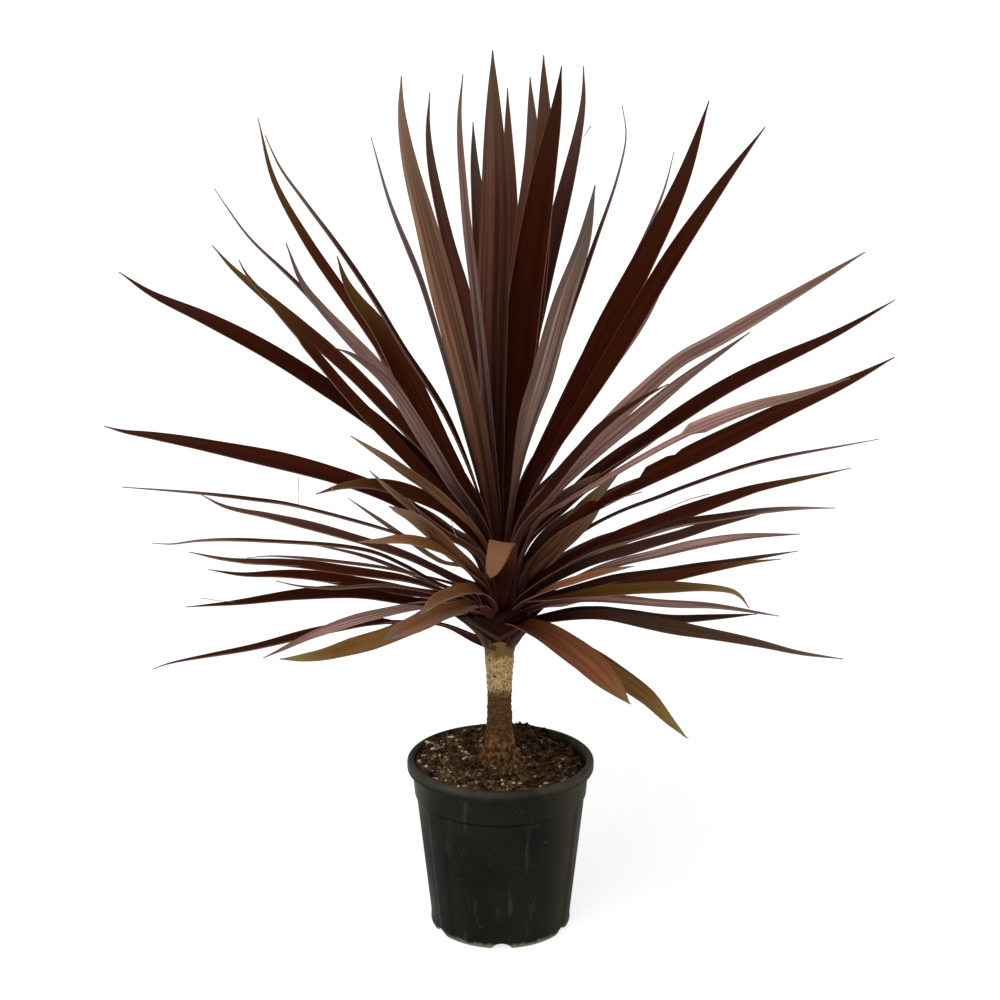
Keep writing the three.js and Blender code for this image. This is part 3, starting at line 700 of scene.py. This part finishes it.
def object_from(bm, name, materials):
    mesh = bpy.data.meshes.new(name)
    bm.to_mesh(mesh)
    bm.free()
    for material in materials:
        mesh.materials.append(material)
    mesh.shade_smooth()
    return new_object(name, mesh)


def joined(objects, name):
    """One object out of several."""
    with bpy.context.temp_override(active_object=objects[0], selected_editable_objects=objects):
        bpy.ops.object.join()
    objects[0].name = name
    objects[0].data.name = name
    return objects[0]


def spun(profile, steps):
    """A closed surface of revolution about the upright axis, from radius and height pairs."""
    bm = bmesh.new()
    points = [bm.verts.new((radius, 0, height)) for radius, height in profile]
    edges = [bm.edges.new(pair) for pair in zip(points, points[1:])]
    turning = dict(cent=(0, 0, 0), axis=(0, 0, 1), angle=math.tau, steps=steps, use_merge=True)
    bmesh.ops.spin(bm, geom=points + edges, **turning)
    bmesh.ops.remove_doubles(bm, verts=bm.verts, dist=0.001)
    bmesh.ops.recalc_face_normals(bm, faces=bm.faces)
    return bm


def to_metres(bm):
    bmesh.ops.scale(bm, vec=(MM, MM, MM), verts=bm.verts)


def polar(x, y):
    return math.hypot(x, y), math.atan2(y, x)


def strands(name, lines, material, slot_name):
    """Round strands, each given as a thickness and its points, and a little thinner at its end."""
    data = bpy.data.curves.new(name, "CURVE")
    data.dimensions = "3D"
    data.bevel_depth = MM / 2
    data.bevel_resolution = 1
    data.use_fill_caps = True
    for thickness, line in lines:
        spline = data.splines.new("POLY")
        spline.points.add(len(line) - 1)
        for i, (point, at) in enumerate(zip(spline.points, line)):
            point.co = (*(at * MM), 1)
            point.radius = thickness * blend(1, 0.45, i / (len(line) - 1))
    curve = new_object(name + "_line", data)
    mesh = bpy.data.meshes.new_from_object(curve.evaluated_get(bpy.context.evaluated_depsgraph_get()))
    bpy.data.objects.remove(curve)
    mesh.name = name
    mesh.materials.clear()
    mesh.materials.append(material)
    mesh.shade_smooth()
    return finish_piece(new_object(name, mesh), slot_name)


# Leaves

def blade_width(share, leaf, in_crown):
    if share < WIDEST_AT:
        base = leaf.base or (BASE_WIDTH if in_crown else LOW_BASE_WIDTH)
        narrow_until = NARROW_UNTIL if leaf.base else 0
        return leaf.width * blend(base, 1, smoothstep(share, narrow_until, WIDEST_AT))
    outer = (share - WIDEST_AT) / (1 - WIDEST_AT)
    part = 1 - outer**leaf.taper
    if leaf.across:
        part = math.sqrt(part)
    return max(TIP_WIDTH, leaf.width * part)


def torn_away(leaf, share, side):
    """The part of the half width that is gone at a place of an edge."""
    gone = 0
    for start, stop, torn_side, part in leaf.nicks:
        if side * torn_side > 0:
            inside = smoothstep(share, start - 0.012, start + 0.012)
            inside *= smoothstep(share, stop + 0.012, stop - 0.012)
            gone = max(gone, part * inside)
    return gone


def tinted(look, tone):
    """The three colours of a look, a little lighter or darker."""
    return [tuple(part * tone for part in colour(*shade)[:3]) + (1.0,) for shade in LOOKS[look]]


def leaf_grid(across_steps, along_steps):
    """A flat sheet with the layers that the leaf skins read."""
    bm = bmesh.new()
    bm.loops.layers.uv.new("UVMap")
    bmesh.ops.create_grid(bm, x_segments=across_steps, y_segments=along_steps, size=0.5, calc_uvs=True)
    layers = [bm.verts.layers.float_color.new(name) for name in ("skin", "under", "tip")]
    return bm, layers, bm.verts.layers.float.new("seed")


def make_blade(leaf, materials):
    """A channelled strap that follows its midrib, with a little wave in its edges."""
    course, outward, in_crown = midrib(leaf)
    points = smooth_line(course, ALONG_STEPS)
    chance = random.Random(int(leaf.run[-1][0] * 7 + leaf.run[-1][1] * 13 + leaf.depth))
    phases = [chance.uniform(0, math.tau) for _ in range(4)]
    shades = tinted(leaf.look, chance.uniform(0.88, 1.14))
    seed = chance.random()

    bm, layers, seed_layer = leaf_grid(ACROSS_STEPS, ALONG_STEPS)
    frames = []
    for i, point in enumerate(points):
        along = (points[min(i + 1, ALONG_STEPS)] - points[max(i - 1, 0)]).normalized()
        if leaf.across:
            face = along.cross(Vector(leaf.across)).normalized()
        else:
            face = upper_face(point, along, outward, i / ALONG_STEPS, leaf.seen)
        frames.append((point, face, face.cross(along).normalized(), along.z))
    for vert in bm.verts:
        side = 2 * vert.co.x
        row = round((vert.co.y + 0.5) * ALONG_STEPS)
        share = row / ALONG_STEPS
        point, face, across, rise = frames[row]
        half = blade_width(share, leaf, in_crown) / 2 * (1 - torn_away(leaf, share, side))
        channel = CHANNEL / 4 if leaf.across else CHANNEL
        clasp = channel + 0.5 * smoothstep(share, 0.16, 0)
        fold = 2 * clasp * half * (abs(side) ** 1.25 - 1)
        wave = math.sin(9 * share + phases[0 if side > 0 else 1]) * 0.06
        wave += math.sin(23 * share + phases[2 if side > 0 else 3]) * 0.03
        lift = fold + wave * half * abs(side) ** 3 * smoothstep(share, 0.1, 0.3)
        vert.co = (point + across * (side * half) + face * lift) * MM
        for layer, shade in zip(layers, shades):
            vert[layer] = shade
        # Painted shade: on steep blades the half of the underside towards +x is painted darker, as a half
        # turned from the light would look.
        steep = smoothstep(abs(rise), 0.75, 0.95)
        on_right = smoothstep(side * math.copysign(1, across.x), -0.05, 0.35)
        painted_half_shade = 1 - PAINTED_RIGHT_HALF_SHADE * steep * on_right
        vert[layers[1]] = tuple(part * painted_half_shade for part in shades[1][:3]) + (1.0,)
        vert[seed_layer] = seed
    bmesh.ops.reverse_faces(bm, faces=bm.faces)
    return object_from(bm, "blade", materials), in_crown


def leaf_flare(height):
    """How far the old leaf bases lean out from the cane at a height."""
    return FLARE_RATE * max(0, height - FLARE_FOOT) ** 2


def make_sheath(azimuth, foot, look, materials):
    """The base of an old leaf, wrapped about the top of the cane and leaning out as it climbs."""
    chance = random.Random(int(azimuth * 10 + foot))
    shades = tinted(look, chance.uniform(0.9, 1.12))
    seed = chance.random()
    reach = SHEATH_HEIGHT * chance.uniform(0.72, 1.08)
    bm, layers, seed_layer = leaf_grid(SHEATH_ACROSS_STEPS, SHEATH_ALONG_STEPS)
    for vert in bm.verts:
        side = 2 * vert.co.x
        climb = vert.co.y + 0.5
        half_turn = blend(SHEATH_FOOT_TURN, SHEATH_TOP_TURN, climb**1.35)
        turn = math.radians(azimuth + side * half_turn)
        height = foot + reach * climb - 2 * side**2 * (1 - climb)
        tuck = (foot - SHEATH_LOWEST) / 18
        flare = leaf_flare(height) * (1 - 0.4 * tuck) * (1 - 0.3 * side**2)
        radius = CANE_RADIUS + 1.2 + flare - 0.9 * tuck - 0.5 * abs(side)
        x = CANE_CENTRE + radius * math.cos(turn)
        vert.co = Vector((x, radius * math.sin(turn), height)) * MM
        for layer, shade in zip(layers, shades):
            vert[layer] = shade
        vert[seed_layer] = seed
    uv = bm.loops.layers.uv.active
    for face in bm.faces:
        for loop in face.loops:
            loop[uv].uv.y = 0.65
    return object_from(bm, "sheath", materials)


def thicken(piece, thickness):
    """Gives a sheet its thickness, with its underside and rim in the next two materials."""
    shell = piece.modifiers.new("thickness", "SOLIDIFY")
    shell.thickness = thickness * MM
    shell.offset = 0
    shell.material_offset = 1
    shell.material_offset_rim = 2


def make_leaves():
    skins = [
        leaf_skin("leaf_upper_face", "skin", 0.3, 0.3, 0.3, 0.42, 0.02),
        leaf_skin("leaf_underside", "under", 0.5, 0.8, 0.85, 0.5, 0.03),
        mottled("leaf_rim", 0.5, 0.2, 60.0, (84, 50, 38), (150, 108, 86)),
    ]
    near = UPRIGHT + HIGH_RIGHT + HIGH_LEFT + LOW_LEFT + LOW_RIGHT + FOLDED
    far = [
        Blade(depth, FAR_WIDTH, FAR_SEEN, "brown", shortened(front.run, share))
        for front, share, depth in FAR
    ]
    heads = {"crown_blades": [], "far_crown_blades": [], "skirt_blades": []}
    for leaf in near + far:
        made, in_crown = make_blade(leaf, skins)
        group = "skirt_blades"
        if in_crown:
            group = "far_crown_blades" if leaf in far else "crown_blades"
        heads[group].append(made)
    for name, blades in heads.items():
        piece = joined(blades, name)
        thicken(piece, BLADE_THICKNESS)
        if name == "skirt_blades":
            finish_piece(piece, "leaf_brown", "skirt_leaves")
        else:
            finish_piece(piece, "leaf_burgundy", "crown_leaves")
    sheaths = [make_sheath(*place_and_look, skins) for place_and_look in SHEATHS]
    sheaths = joined(sheaths, "leaf_sheaths")
    thicken(sheaths, BLADE_THICKNESS)
    finish_piece(sheaths, "leaf_brown", "skirt_leaves")
    for name, leaf in OLD.items():
        piece, _ = make_blade(leaf, skins)
        piece.name = name.replace("leaf", "blade")
        thicken(piece, BLADE_THICKNESS)
        finish_piece(piece, "leaf_rust" if leaf.look == "rust" else "leaf_olive", name)


def make_threads(material):
    lines = []
    for depth, thickness, run in THREADS:
        lines.append((thickness, [seen_at(spot, depth) for spot in run]))
    return strands("leaf_threads", lines, material, "leaf_brown")


# Pot

def wall_radius(height):
    rise = (height - FOOT_ROUND) / (COLLAR_FOOT - FOOT_ROUND)
    return FOOT_RADIUS + (COLLAR_FOOT_RADIUS - FOOT_RADIUS) * max(0, rise)


def arc(centre, radius, start_deg, stop_deg, steps):
    """Points of an arc in the profile's own plane, radius across and height up."""
    points = []
    for i in range(steps + 1):
        turn = math.radians(blend(start_deg, stop_deg, i / steps))
        points.append((centre[0] + radius * math.cos(turn), centre[1] + radius * math.sin(turn)))
    return points


def pot_profile():
    lip_foot = POT_HEIGHT - LIP_HEIGHT
    outer = [(0, 0), (FOOT_RADIUS - 20, 0), (FOOT_RADIUS - 9, 0)]
    outer += arc((FOOT_RADIUS - FOOT_ROUND, FOOT_ROUND), FOOT_ROUND, -90, 0, 5)
    wall_rows = 26
    for i in range(1, wall_rows):
        height = blend(FOOT_ROUND, COLLAR_FOOT - 1.2, i / wall_rows)
        outer.append((wall_radius(height), height))
    outer += [
        (COLLAR_FOOT_RADIUS - 0.4, COLLAR_FOOT - 1.2),
        (COLLAR_FOOT_RADIUS, COLLAR_FOOT),
        (COLLAR_FOOT_RADIUS + 0.5, COLLAR_FOOT + 1.5),
        (COLLAR_RADIUS, lip_foot - 1),
        (COLLAR_RADIUS + 0.8, lip_foot),
    ]
    lip_round = 4.2
    outer += arc((RIM_RADIUS - lip_round, lip_foot + lip_round), lip_round, -80, 0, 5)
    outer += arc((RIM_RADIUS - lip_round, POT_HEIGHT - lip_round), lip_round, 0, 90, 6)
    inner = [
        (COLLAR_RADIUS - WALL + 1.6, POT_HEIGHT - 0.6),
        (COLLAR_RADIUS - WALL + 0.4, POT_HEIGHT - 3),
        (COLLAR_RADIUS - WALL, lip_foot - 3),
        (COLLAR_FOOT_RADIUS - WALL, COLLAR_FOOT),
        (wall_radius(PANEL_FOOT) - WALL - PANEL_DEPTH, PANEL_FOOT),
        (FOOT_RADIUS - FOOT_ROUND - WALL, FLOOR),
        (0, FLOOR),
    ]
    return outer + inner


def make_pot(material):
    bm = spun(pot_profile(), POT_STEPS)
    rib_half = RIB_WIDTH_DEG / 2
    for vert in bm.verts:
        x, y, z = vert.co
        radius, turn = polar(x, y)
        outside = radius > wall_radius(z) - WALL / 2
        if outside and PANEL_FOOT - 4 < z < COLLAR_FOOT:
            pitch = 360 / RIB_COUNT
            from_rib = (math.degrees(turn) - RIB_TURN_DEG + pitch / 2) % pitch - pitch / 2
            sink = PANEL_DEPTH * smoothstep(abs(from_rib), rib_half - 1, rib_half + 2.5)
            sink *= smoothstep(z, PANEL_FOOT - 3, PANEL_FOOT + 2)
            sink *= smoothstep(z, COLLAR_FOOT - 0.2, COLLAR_FOOT - 2.5)
            vert.co.x -= x / radius * sink
            vert.co.y -= y / radius * sink
        if z < NOTCH_HEIGHT and radius > FOOT_RADIUS - 10:
            pitch = 360 / NOTCH_COUNT
            from_notch = (math.degrees(turn) - NOTCH_TURN_DEG + pitch / 2) % pitch - pitch / 2
            reach = math.radians(abs(from_notch)) * radius / (NOTCH_WIDTH / 2)
            if reach < 1:
                vert.co.z = max(z, NOTCH_HEIGHT * math.sqrt(1 - reach**2))
    to_metres(bm)
    piece = object_from(bm, "pot_shell", [material])
    return finish_piece(piece, "pot_plastic", "pot")


def pot_plastic():
    material, tree, shader = new_material("dusty_pot_plastic_with_painted_light", 0.5, 0.04)
    spot = place(tree)
    parts = add_node(tree, "SeparateXYZ", {0: spot})
    height = parts.outputs[2]
    cloud = grain(tree, spot, 14.0, 4.0)
    upright = add_node(tree, "Mapping", {"Vector": spot, "Scale": (1.0, 1.0, 0.12)}).outputs[0]
    dirt = calc(tree, "ADD", height, times(tree, grain(tree, spot, 160.0, 3.0), 0.007))
    # Painted light: the pot's left and right flanks, as the eye sees them, are painted lighter and olive.
    side = calc(tree, "ABSOLUTE", calc(tree, "ADD", parts.outputs[0], 0.012))
    shade = stained(
        tree,
        mix(tree, ease(tree, cloud, 0.35, 0.7), colour(15, 17, 12), colour(26, 26, 19)),
        (grain(tree, upright, 90.0, 3.0), 0.58, 0.8, 0.35, colour(74, 74, 66)),
        (grain(tree, spot, 420.0, 2.0, 0.4), 0.72, 0.78, 0.4, colour(120, 116, 100)),
        (dirt, 0.011, 0.006, 0.85, colour(112, 108, 92)),
        # painted light on the flanks
        (side, 0.05, 0.09, 0.7, colour(46, 42, 28)),
    )
    # Painted shadow: a thin dark line just under the collar's foot, where the step would cast shade.
    shadow_band_bottom = ease(tree, height, (COLLAR_FOOT - 3.5) * MM, (COLLAR_FOOT - 1.5) * MM)
    shadow_band_top = ease(tree, height, (COLLAR_FOOT + 1.0) * MM, (COLLAR_FOOT - 0.5) * MM)
    shade = mix(tree, times(tree, shadow_band_bottom, shadow_band_top), shade, colour(8, 9, 6))
    # The lip is painted lighter: partly dust on its top, partly painted highlight on the rim.
    lip = ease(tree, height, (POT_HEIGHT - 10) * MM, (POT_HEIGHT - 1) * MM)
    lip_dust_and_sheen = mix(tree, ease(tree, cloud, 0.3, 0.6), colour(36, 37, 33), colour(82, 78, 67))
    shade = mix(tree, times(tree, lip, 0.6), shade, lip_dust_and_sheen)
    feed(tree, shader.inputs["Base Color"], shade)
    feed(tree, shader.inputs["Roughness"], ease(tree, cloud, 0.3, 0.7, 0.44, 0.62))
    raise_by(tree, shader, grain(tree, spot, 300.0, 3.0), 0.12, 0.6)
    return material


# Soil

def soil_height(x, y):
    radius, turn = polar(x, y)
    lumps = 1.6 * math.sin(3 * turn + radius * 0.11) + 1.1 * math.sin(7 * turn - radius * 0.19)
    mound = 5 * math.exp(-((radius / 40) ** 2))
    mound += 5 * math.exp(-(((x - 26) / 16) ** 2 + ((y - 76) / 12) ** 2))
    rough = 2.2 * noise.noise(Vector((x, y, 5)) * 0.07) + 2.0 * noise.noise(Vector((x, y, 9)) * 0.2)
    heap = 8 * smoothstep(y, 20, 75) + 6 * smoothstep(-x, 40, 80)
    return SOIL_TOP + 2 + mound + heap + lumps * min(1, radius / 30) + rough


def soil_tone_and_shade(x, y):
    """How light the soil is at a place: in patches that are partly its own tone and partly painted shade in
    its gaps, and lighter to the left as painted light.
    """
    patch = noise.noise(Vector((x, y, 3)) * 0.09) + 0.6 * noise.noise(Vector((x, y, 7)) * 0.22)
    return min(max(0.42 + 1.3 * patch - 0.0034 * x, 0.05), 1.1)


def make_soil(material):
    edge = COLLAR_RADIUS - WALL - 0.6
    profile = [(0, FLOOR + 0.4), (FOOT_RADIUS - 12, FLOOR + 0.4), (edge - 16, 20)]
    profile += [(edge - 2.4, COLLAR_FOOT), (edge, SOIL_TOP - 4)]
    rings = 60
    profile += [(edge * (1 - i / rings), SOIL_TOP) for i in range(rings + 1)]
    bm = spun(profile, SOIL_STEPS)
    for vert in bm.verts:
        if vert.co.z > SOIL_TOP - 0.5:
            vert.co.z = soil_height(vert.co.x, vert.co.y)
    to_metres(bm)
    return finish_piece(object_from(bm, "soil_body", [material]), "soil", "soil")


def scatter(name, count, make_one, material):
    """Many small lumps as one object, made in batches to stay quick."""
    batch_size = 100
    batches = []
    for start in range(0, count, batch_size):
        bm = bmesh.new()
        tone = bm.verts.layers.float.new("tone")
        for _ in range(min(batch_size, count - start)):
            make_one(bm, tone)
        batches.append(object_from(bm, name, [material]))
    piece = joined(batches, name)
    return finish_piece(piece, "soil")


def lump(bm, tone, where, size, shade, flatness, chance):
    """A rough lump with a few faces, squashed and turned at random."""
    made = bmesh.ops.create_icosphere(bm, subdivisions=1, radius=size * MM)["verts"]
    spin = Matrix.Rotation(chance.uniform(0, math.tau), 4, "Z")
    tilt = Matrix.Rotation(chance.uniform(-0.6, 0.6), 4, "X")
    for vert in made:
        vert.co *= chance.uniform(0.75, 1.2)
        vert.co = Vector((vert.co.x * flatness[0], vert.co.y * flatness[1], vert.co.z * flatness[2]))
        vert.co = spin @ (tilt @ vert.co)
        vert.co += where * MM
        vert[tone] = shade


def soil_spot(chance, reach, sunk):
    radius = reach * math.sqrt(chance.uniform(0.02, 1))
    turn = chance.uniform(0, math.tau)
    x = radius * math.cos(turn)
    y = radius * math.sin(turn)
    return Vector((x, y, soil_height(x, y) + sunk))


def on_soil(spot):
    """The point of the soil that the eye sees at a place of the picture."""
    point = seen_at(spot, 0)
    ray = point - EYE
    for _ in range(4):
        point = EYE + ray * ((soil_height(point.x, point.y) - EYE.z) / ray.z)
    return point


def make_crumbs(material):
    chance = random.Random(11)
    reach = COLLAR_RADIUS - WALL - 2

    def crumb(bm, tone):
        size = 0.55 + 2.6 * chance.random() ** 6
        flatness = (1.0, chance.uniform(0.6, 1.0), chance.uniform(0.5, 0.9))
        where = soil_spot(chance, reach, 0.3 * size)
        # Each crumb takes its lightness from the soil's patches, which carry painted shade as well as tone.
        shade = 0.64 * soil_tone_and_shade(where.x, where.y) * chance.uniform(0.4, 1.3)
        if chance.random() < PALE_CRUMB_SHARE:
            shade = chance.uniform(0.45, 0.72)
        lump(bm, tone, where, size, shade, flatness, chance)

    def bark(bm, tone):
        size = chance.uniform(2.0, 4.5)
        flatness = (1.0, chance.uniform(0.3, 0.5), 0.25)
        where = soil_spot(chance, reach - 4, 0.8)
        # Bark pieces take the same patches of tone and painted shade.
        shade = soil_tone_and_shade(where.x, where.y) * chance.uniform(0.4, 1.0)
        lump(bm, tone, where, size, shade, flatness, chance)

    def chip(bm, tone):
        spot, size, shade = next(chips)
        flatness = (1.0, chance.uniform(0.45, 0.75), 0.4)
        lump(bm, tone, on_soil(spot) + Vector((0, 0, 2)), size, shade, flatness, chance)

    chips = iter(PALE_CHIPS)
    scatter("soil_crumbs", CRUMB_COUNT, crumb, material)
    scatter("bark_chips", BARK_COUNT, bark, material)
    scatter("pale_chips", len(PALE_CHIPS), chip, material)


def make_fibres(material):
    """Fine dead roots that lie about in the soil."""
    chance = random.Random(23)
    lines = []
    for _ in range(FIBRE_COUNT):
        start = soil_spot(chance, COLLAR_RADIUS - WALL - 9, 0)
        heading = chance.uniform(0, math.tau)
        reach = chance.uniform(3, 11)
        bend = chance.uniform(-1.6, 1.6)
        line = []
        for i in range(6):
            part = i / 5
            way = heading + bend * part
            x = start.x + math.cos(way) * reach * part
            y = start.y + math.sin(way) * reach * part
            line.append(Vector((x, y, soil_height(x, y) + 1.5 + 1.2 * math.sin(math.pi * part))))
        lines.append((chance.uniform(0.35, 0.8), line))
    return strands("soil_fibres", lines, material, "soil")


def soil_look():
    material, tree, shader = new_material("peat", 0.95, 0.1)
    spot = place(tree)
    fine = grain(tree, spot, 380.0, 5.0, 0.7)
    broad = grain(tree, spot, 60.0, 3.0)
    shade = mix(tree, ease(tree, fine, 0.35, 0.7), colour(30, 17, 8), colour(88, 64, 42))
    shade = stained(tree, shade, (broad, 0.5, 0.72, 0.5, colour(84, 62, 42)))
    feed(tree, shader.inputs["Base Color"], shade)
    raise_by(tree, shader, fine, 0.8, 2.0)
    return material


def crumb_look():
    material, tree, shader = new_material("crumbs", 0.95, 0.1)
    tone = attribute(tree, "tone", "Fac")
    fine = grain(tree, place(tree), 700.0, 3.0)
    shade = stained(
        tree,
        colour(24, 15, 9),
        (tone, 0.0, 0.45, 1.0, colour(98, 76, 56)),
        (tone, 0.4, 0.75, 1.0, colour(150, 122, 88)),
        (tone, 0.6, 0.85, 1.0, colour(222, 204, 166)),
        (fine, 0.55, 0.3, 0.6, colour(24, 14, 8)),
    )
    feed(tree, shader.inputs["Base Color"], shade)
    return material


# Cane

def cane_radius(height):
    foot = 8 * math.exp(-max(height - SOIL_TOP - 2, 0) / 15)
    waist = 1.3 * math.exp(-(((height - WAIST_HEIGHT) / 24) ** 2))
    flare = 1.6 * smoothstep(height, CANE_TOP - 35, CANE_TOP - 5)
    flare += 0.9 * min(leaf_flare(height), 5)
    return CANE_RADIUS - 0.6 + foot + flare - waist


def make_cane(material):
    foot = SOIL_TOP - 20
    top = CANE_TOP + 26
    rows = 130
    profile = [(0, foot)]
    for i in range(rows + 1):
        height = blend(foot, top, i / rows)
        profile.append((cane_radius(height), height))
    profile.append((0, top))
    bm = spun(profile, CANE_STEPS)
    for vert in bm.verts:
        x, y, z = vert.co
        radius, turn = polar(x, y)
        if radius < 1:
            continue
        wander = 1.6 * math.sin(turn + 0.6) + 1.2 * math.sin(3 * turn + z * 0.05)
        ring = ((z + wander) / RING_SPACING) % 1
        ledge = RING_LEDGE * smoothstep(ring, 0, 0.75) * smoothstep(ring, 1.0, 0.85)
        ledge *= smoothstep(z, CANE_TOP, CANE_TOP - 10)
        rough = 0.8 * noise.noise(Vector((x * 0.22, y * 0.22, z * 0.16)))
        rough += 0.35 * noise.noise(Vector((x, y, z)) * 0.7)
        grow = (radius + ledge + rough) / radius
        vert.co.x *= grow
        vert.co.y *= grow
    bmesh.ops.translate(bm, verts=bm.verts, vec=(CANE_CENTRE, 0, 0))
    to_metres(bm)
    return finish_piece(object_from(bm, "cane", [material]), "cane", "stem")


def cane_bark():
    material, tree, shader = new_material("cane_bark", 0.85, 0.2)
    spot = place(tree)
    parts = add_node(tree, "SeparateXYZ", {0: spot})
    turn = calc(tree, "ARCTAN2", parts.outputs[1], parts.outputs[0])
    height = calc(tree, "DIVIDE", parts.outputs[2], MM)
    wrapped = vector(tree, times(tree, turn, 13.0), times(tree, height, 1.7), 0.0)
    patch = grain(tree, spot, 70.0, 4.0)
    fine = grain(tree, spot, 420.0, 4.0, 0.7)
    rough_height = calc(tree, "ADD", height, times(tree, patch, 22.0))
    old = ease(tree, rough_height, PALE_BARK_FOOT + 10.0, PALE_BARK_FOOT)
    cream = mix(tree, ease(tree, fine, 0.35, 0.65), colour(132, 100, 56), colour(208, 180, 130))
    brown = mix(tree, ease(tree, fine, 0.3, 0.7), colour(50, 28, 8), colour(112, 76, 38))
    shade = mix(tree, old, cream, brown)
    bend = vector(tree, 0.0, times(tree, patch, 24.0), 0.0)
    bent = add_node(tree, "VectorMath", {0: wrapped, 1: bend}).outputs[0]
    values = {"Vector": bent, "Scale": 0.085}
    cells = add_node(tree, "TexVoronoi", values, feature="DISTANCE_TO_EDGE")
    gap = calc(tree, "ADD", cells.outputs["Distance"], times(tree, fine, 0.04))
    crack = times(tree, ease(tree, gap, 0.075, 0.035), ease(tree, patch, 0.62, 0.42, 0.2, 1.0))
    shade = mix(tree, times(tree, crack, 0.8), shade, colour(86, 56, 24))
    spots = add_node(tree, "TexVoronoi", {"Vector": wrapped, "Scale": 0.1, "Randomness": 1.0})
    scar = calc(tree, "ADD", spots.outputs["Distance"], times(tree, fine, 0.12))
    scars = times(tree, ease(tree, scar, 0.3, 0.2, 0.0, 0.95), ease(tree, old, 1.0, 0.0, 0.25))
    shade = mix(tree, scars, shade, colour(50, 30, 11))
    wobble = times(tree, grain(tree, spot, 60.0, 4.0, 0.7), 5.0)
    ring = calc(tree, "FRACT", calc(tree, "ADD", calc(tree, "DIVIDE", height, 4.4), wobble))
    line = times(tree, ease(tree, ring, 0.66, 0.86), ease(tree, old, 0.0, 1.0, 0.1, 0.6))
    shade = mix(tree, line, shade, colour(48, 27, 8))
    # Darker towards the foot of the cane.
    darker_foot = (rough_height, 226.0, 192.0, 0.6, colour(42, 24, 10))
    olive = (rough_height, CANE_TOP + 1.0, CANE_TOP + 9.0, 0.9, colour(98, 74, 36))
    shade = stained(tree, shade, darker_foot, olive)
    feed(tree, shader.inputs["Base Color"], shade)
    raise_by(tree, shader, calc(tree, "SUBTRACT", fine, line), 0.9, 1.2)
    return material


def make_roots(material):
    """Fine roots that hug the foot of the cane and run into the soil."""
    chance = random.Random(5)
    lines = []
    steps = 9
    for _ in range(ROOT_COUNT):
        turn = chance.uniform(0, math.tau)
        start = SOIL_TOP + chance.uniform(10, 42)
        reach = chance.uniform(2, 17)
        drift = chance.uniform(-0.5, 0.5)
        line = []
        for i in range(steps):
            part = i / (steps - 1)
            height = blend(start, SOIL_TOP + 1, part**0.9)
            radius = cane_radius(height) + 0.4 + reach * part**4
            angle = turn + drift * part + 0.12 * math.sin(9 * part + turn * 5)
            height += 0.8 * math.sin(14 * part + turn * 9)
            x = CANE_CENTRE + radius * math.cos(angle)
            line.append(Vector((x, radius * math.sin(angle), height)))
        lines.append((chance.uniform(0.7, 1.3), line))
    return strands("fine_roots", lines, material, "cane")


def root_look():
    material, tree, shader = new_material("root_fibre", 0.9, 0.15)
    fine = grain(tree, place(tree), 240.0, 3.0)
    shade = mix(tree, ease(tree, fine, 0.3, 0.7), colour(30, 17, 8), colour(146, 106, 66))
    feed(tree, shader.inputs["Base Color"], shade)
    return material


# Scene

def make_floor():
    bm = bmesh.new()
    bmesh.ops.create_grid(bm, x_segments=1, y_segments=1, size=FLOOR_REACH_M)
    material, _, shader = new_material("pale_floor", 1.0, 0.0)
    shader.inputs["Base Color"].default_value = (FLOOR_GREY, FLOOR_GREY, FLOOR_GREY, 1.0)
    shader.inputs["Emission Color"].default_value = (1.0, 1.0, 1.0, 1.0)
    shader.inputs["Emission Strength"].default_value = FLOOR_GLOW
    floor = object_from(bm, "floor", [material])


def make_sun(name, azimuth, elevation, strength, softness):
    """A broad soft light from a direction. Azimuth 0 is the photographed side, angles in degrees."""
    data = bpy.data.lights.new(name, "SUN")
    data.energy = strength
    data.angle = math.radians(softness)
    light = new_object(name, data)
    light.rotation_euler = (math.radians(90 - elevation), 0, math.radians(azimuth))


def make_camera():
    data = bpy.data.cameras.new("camera")
    data.sensor_width = SENSOR
    data.lens = FOCAL / PICTURE_WIDTH * SENSOR
    data.shift_x = (PICTURE_WIDTH / 2 - PICTURE_CENTRE[0]) / PICTURE_WIDTH
    camera = new_object("camera", data)
    camera.location = EYE * MM
    camera.rotation_euler = (math.radians(90 - LOOK_DOWN_DEG), 0, 0)
    bpy.context.scene.camera = camera


def make_stage():
    make_floor()
    world = bpy.data.worlds.new("studio")
    world.use_nodes = True
    tree = world.node_tree
    way = tree.nodes.new("ShaderNodeTexCoord").outputs["Generated"]
    up = add_node(tree, "SeparateXYZ", {0: way}).outputs[2]
    ceiling = ease(tree, up, 0.06, 0.35)
    sky = mix(tree, ceiling, (1.05, 1.05, 1.05, 1.0), (0.5, 0.5, 0.51, 1.0))
    feed(tree, tree.nodes["Background"].inputs["Color"], sky)
    bpy.context.scene.world = world
    bpy.context.scene.view_settings.view_transform = "Standard"
    make_sun("key", azimuth=-30, elevation=56, strength=2.3, softness=50)
    make_camera()


make_leaves()
make_threads(mottled("dry_thread", 0.8, 0.1, 90.0, (104, 86, 74), (158, 138, 124)))
make_pot(pot_plastic())
make_soil(soil_look())
make_crumbs(crumb_look())
root_fibre = root_look()
make_fibres(root_fibre)
make_cane(cane_bark())
make_roots(root_fibre)
make_stage()
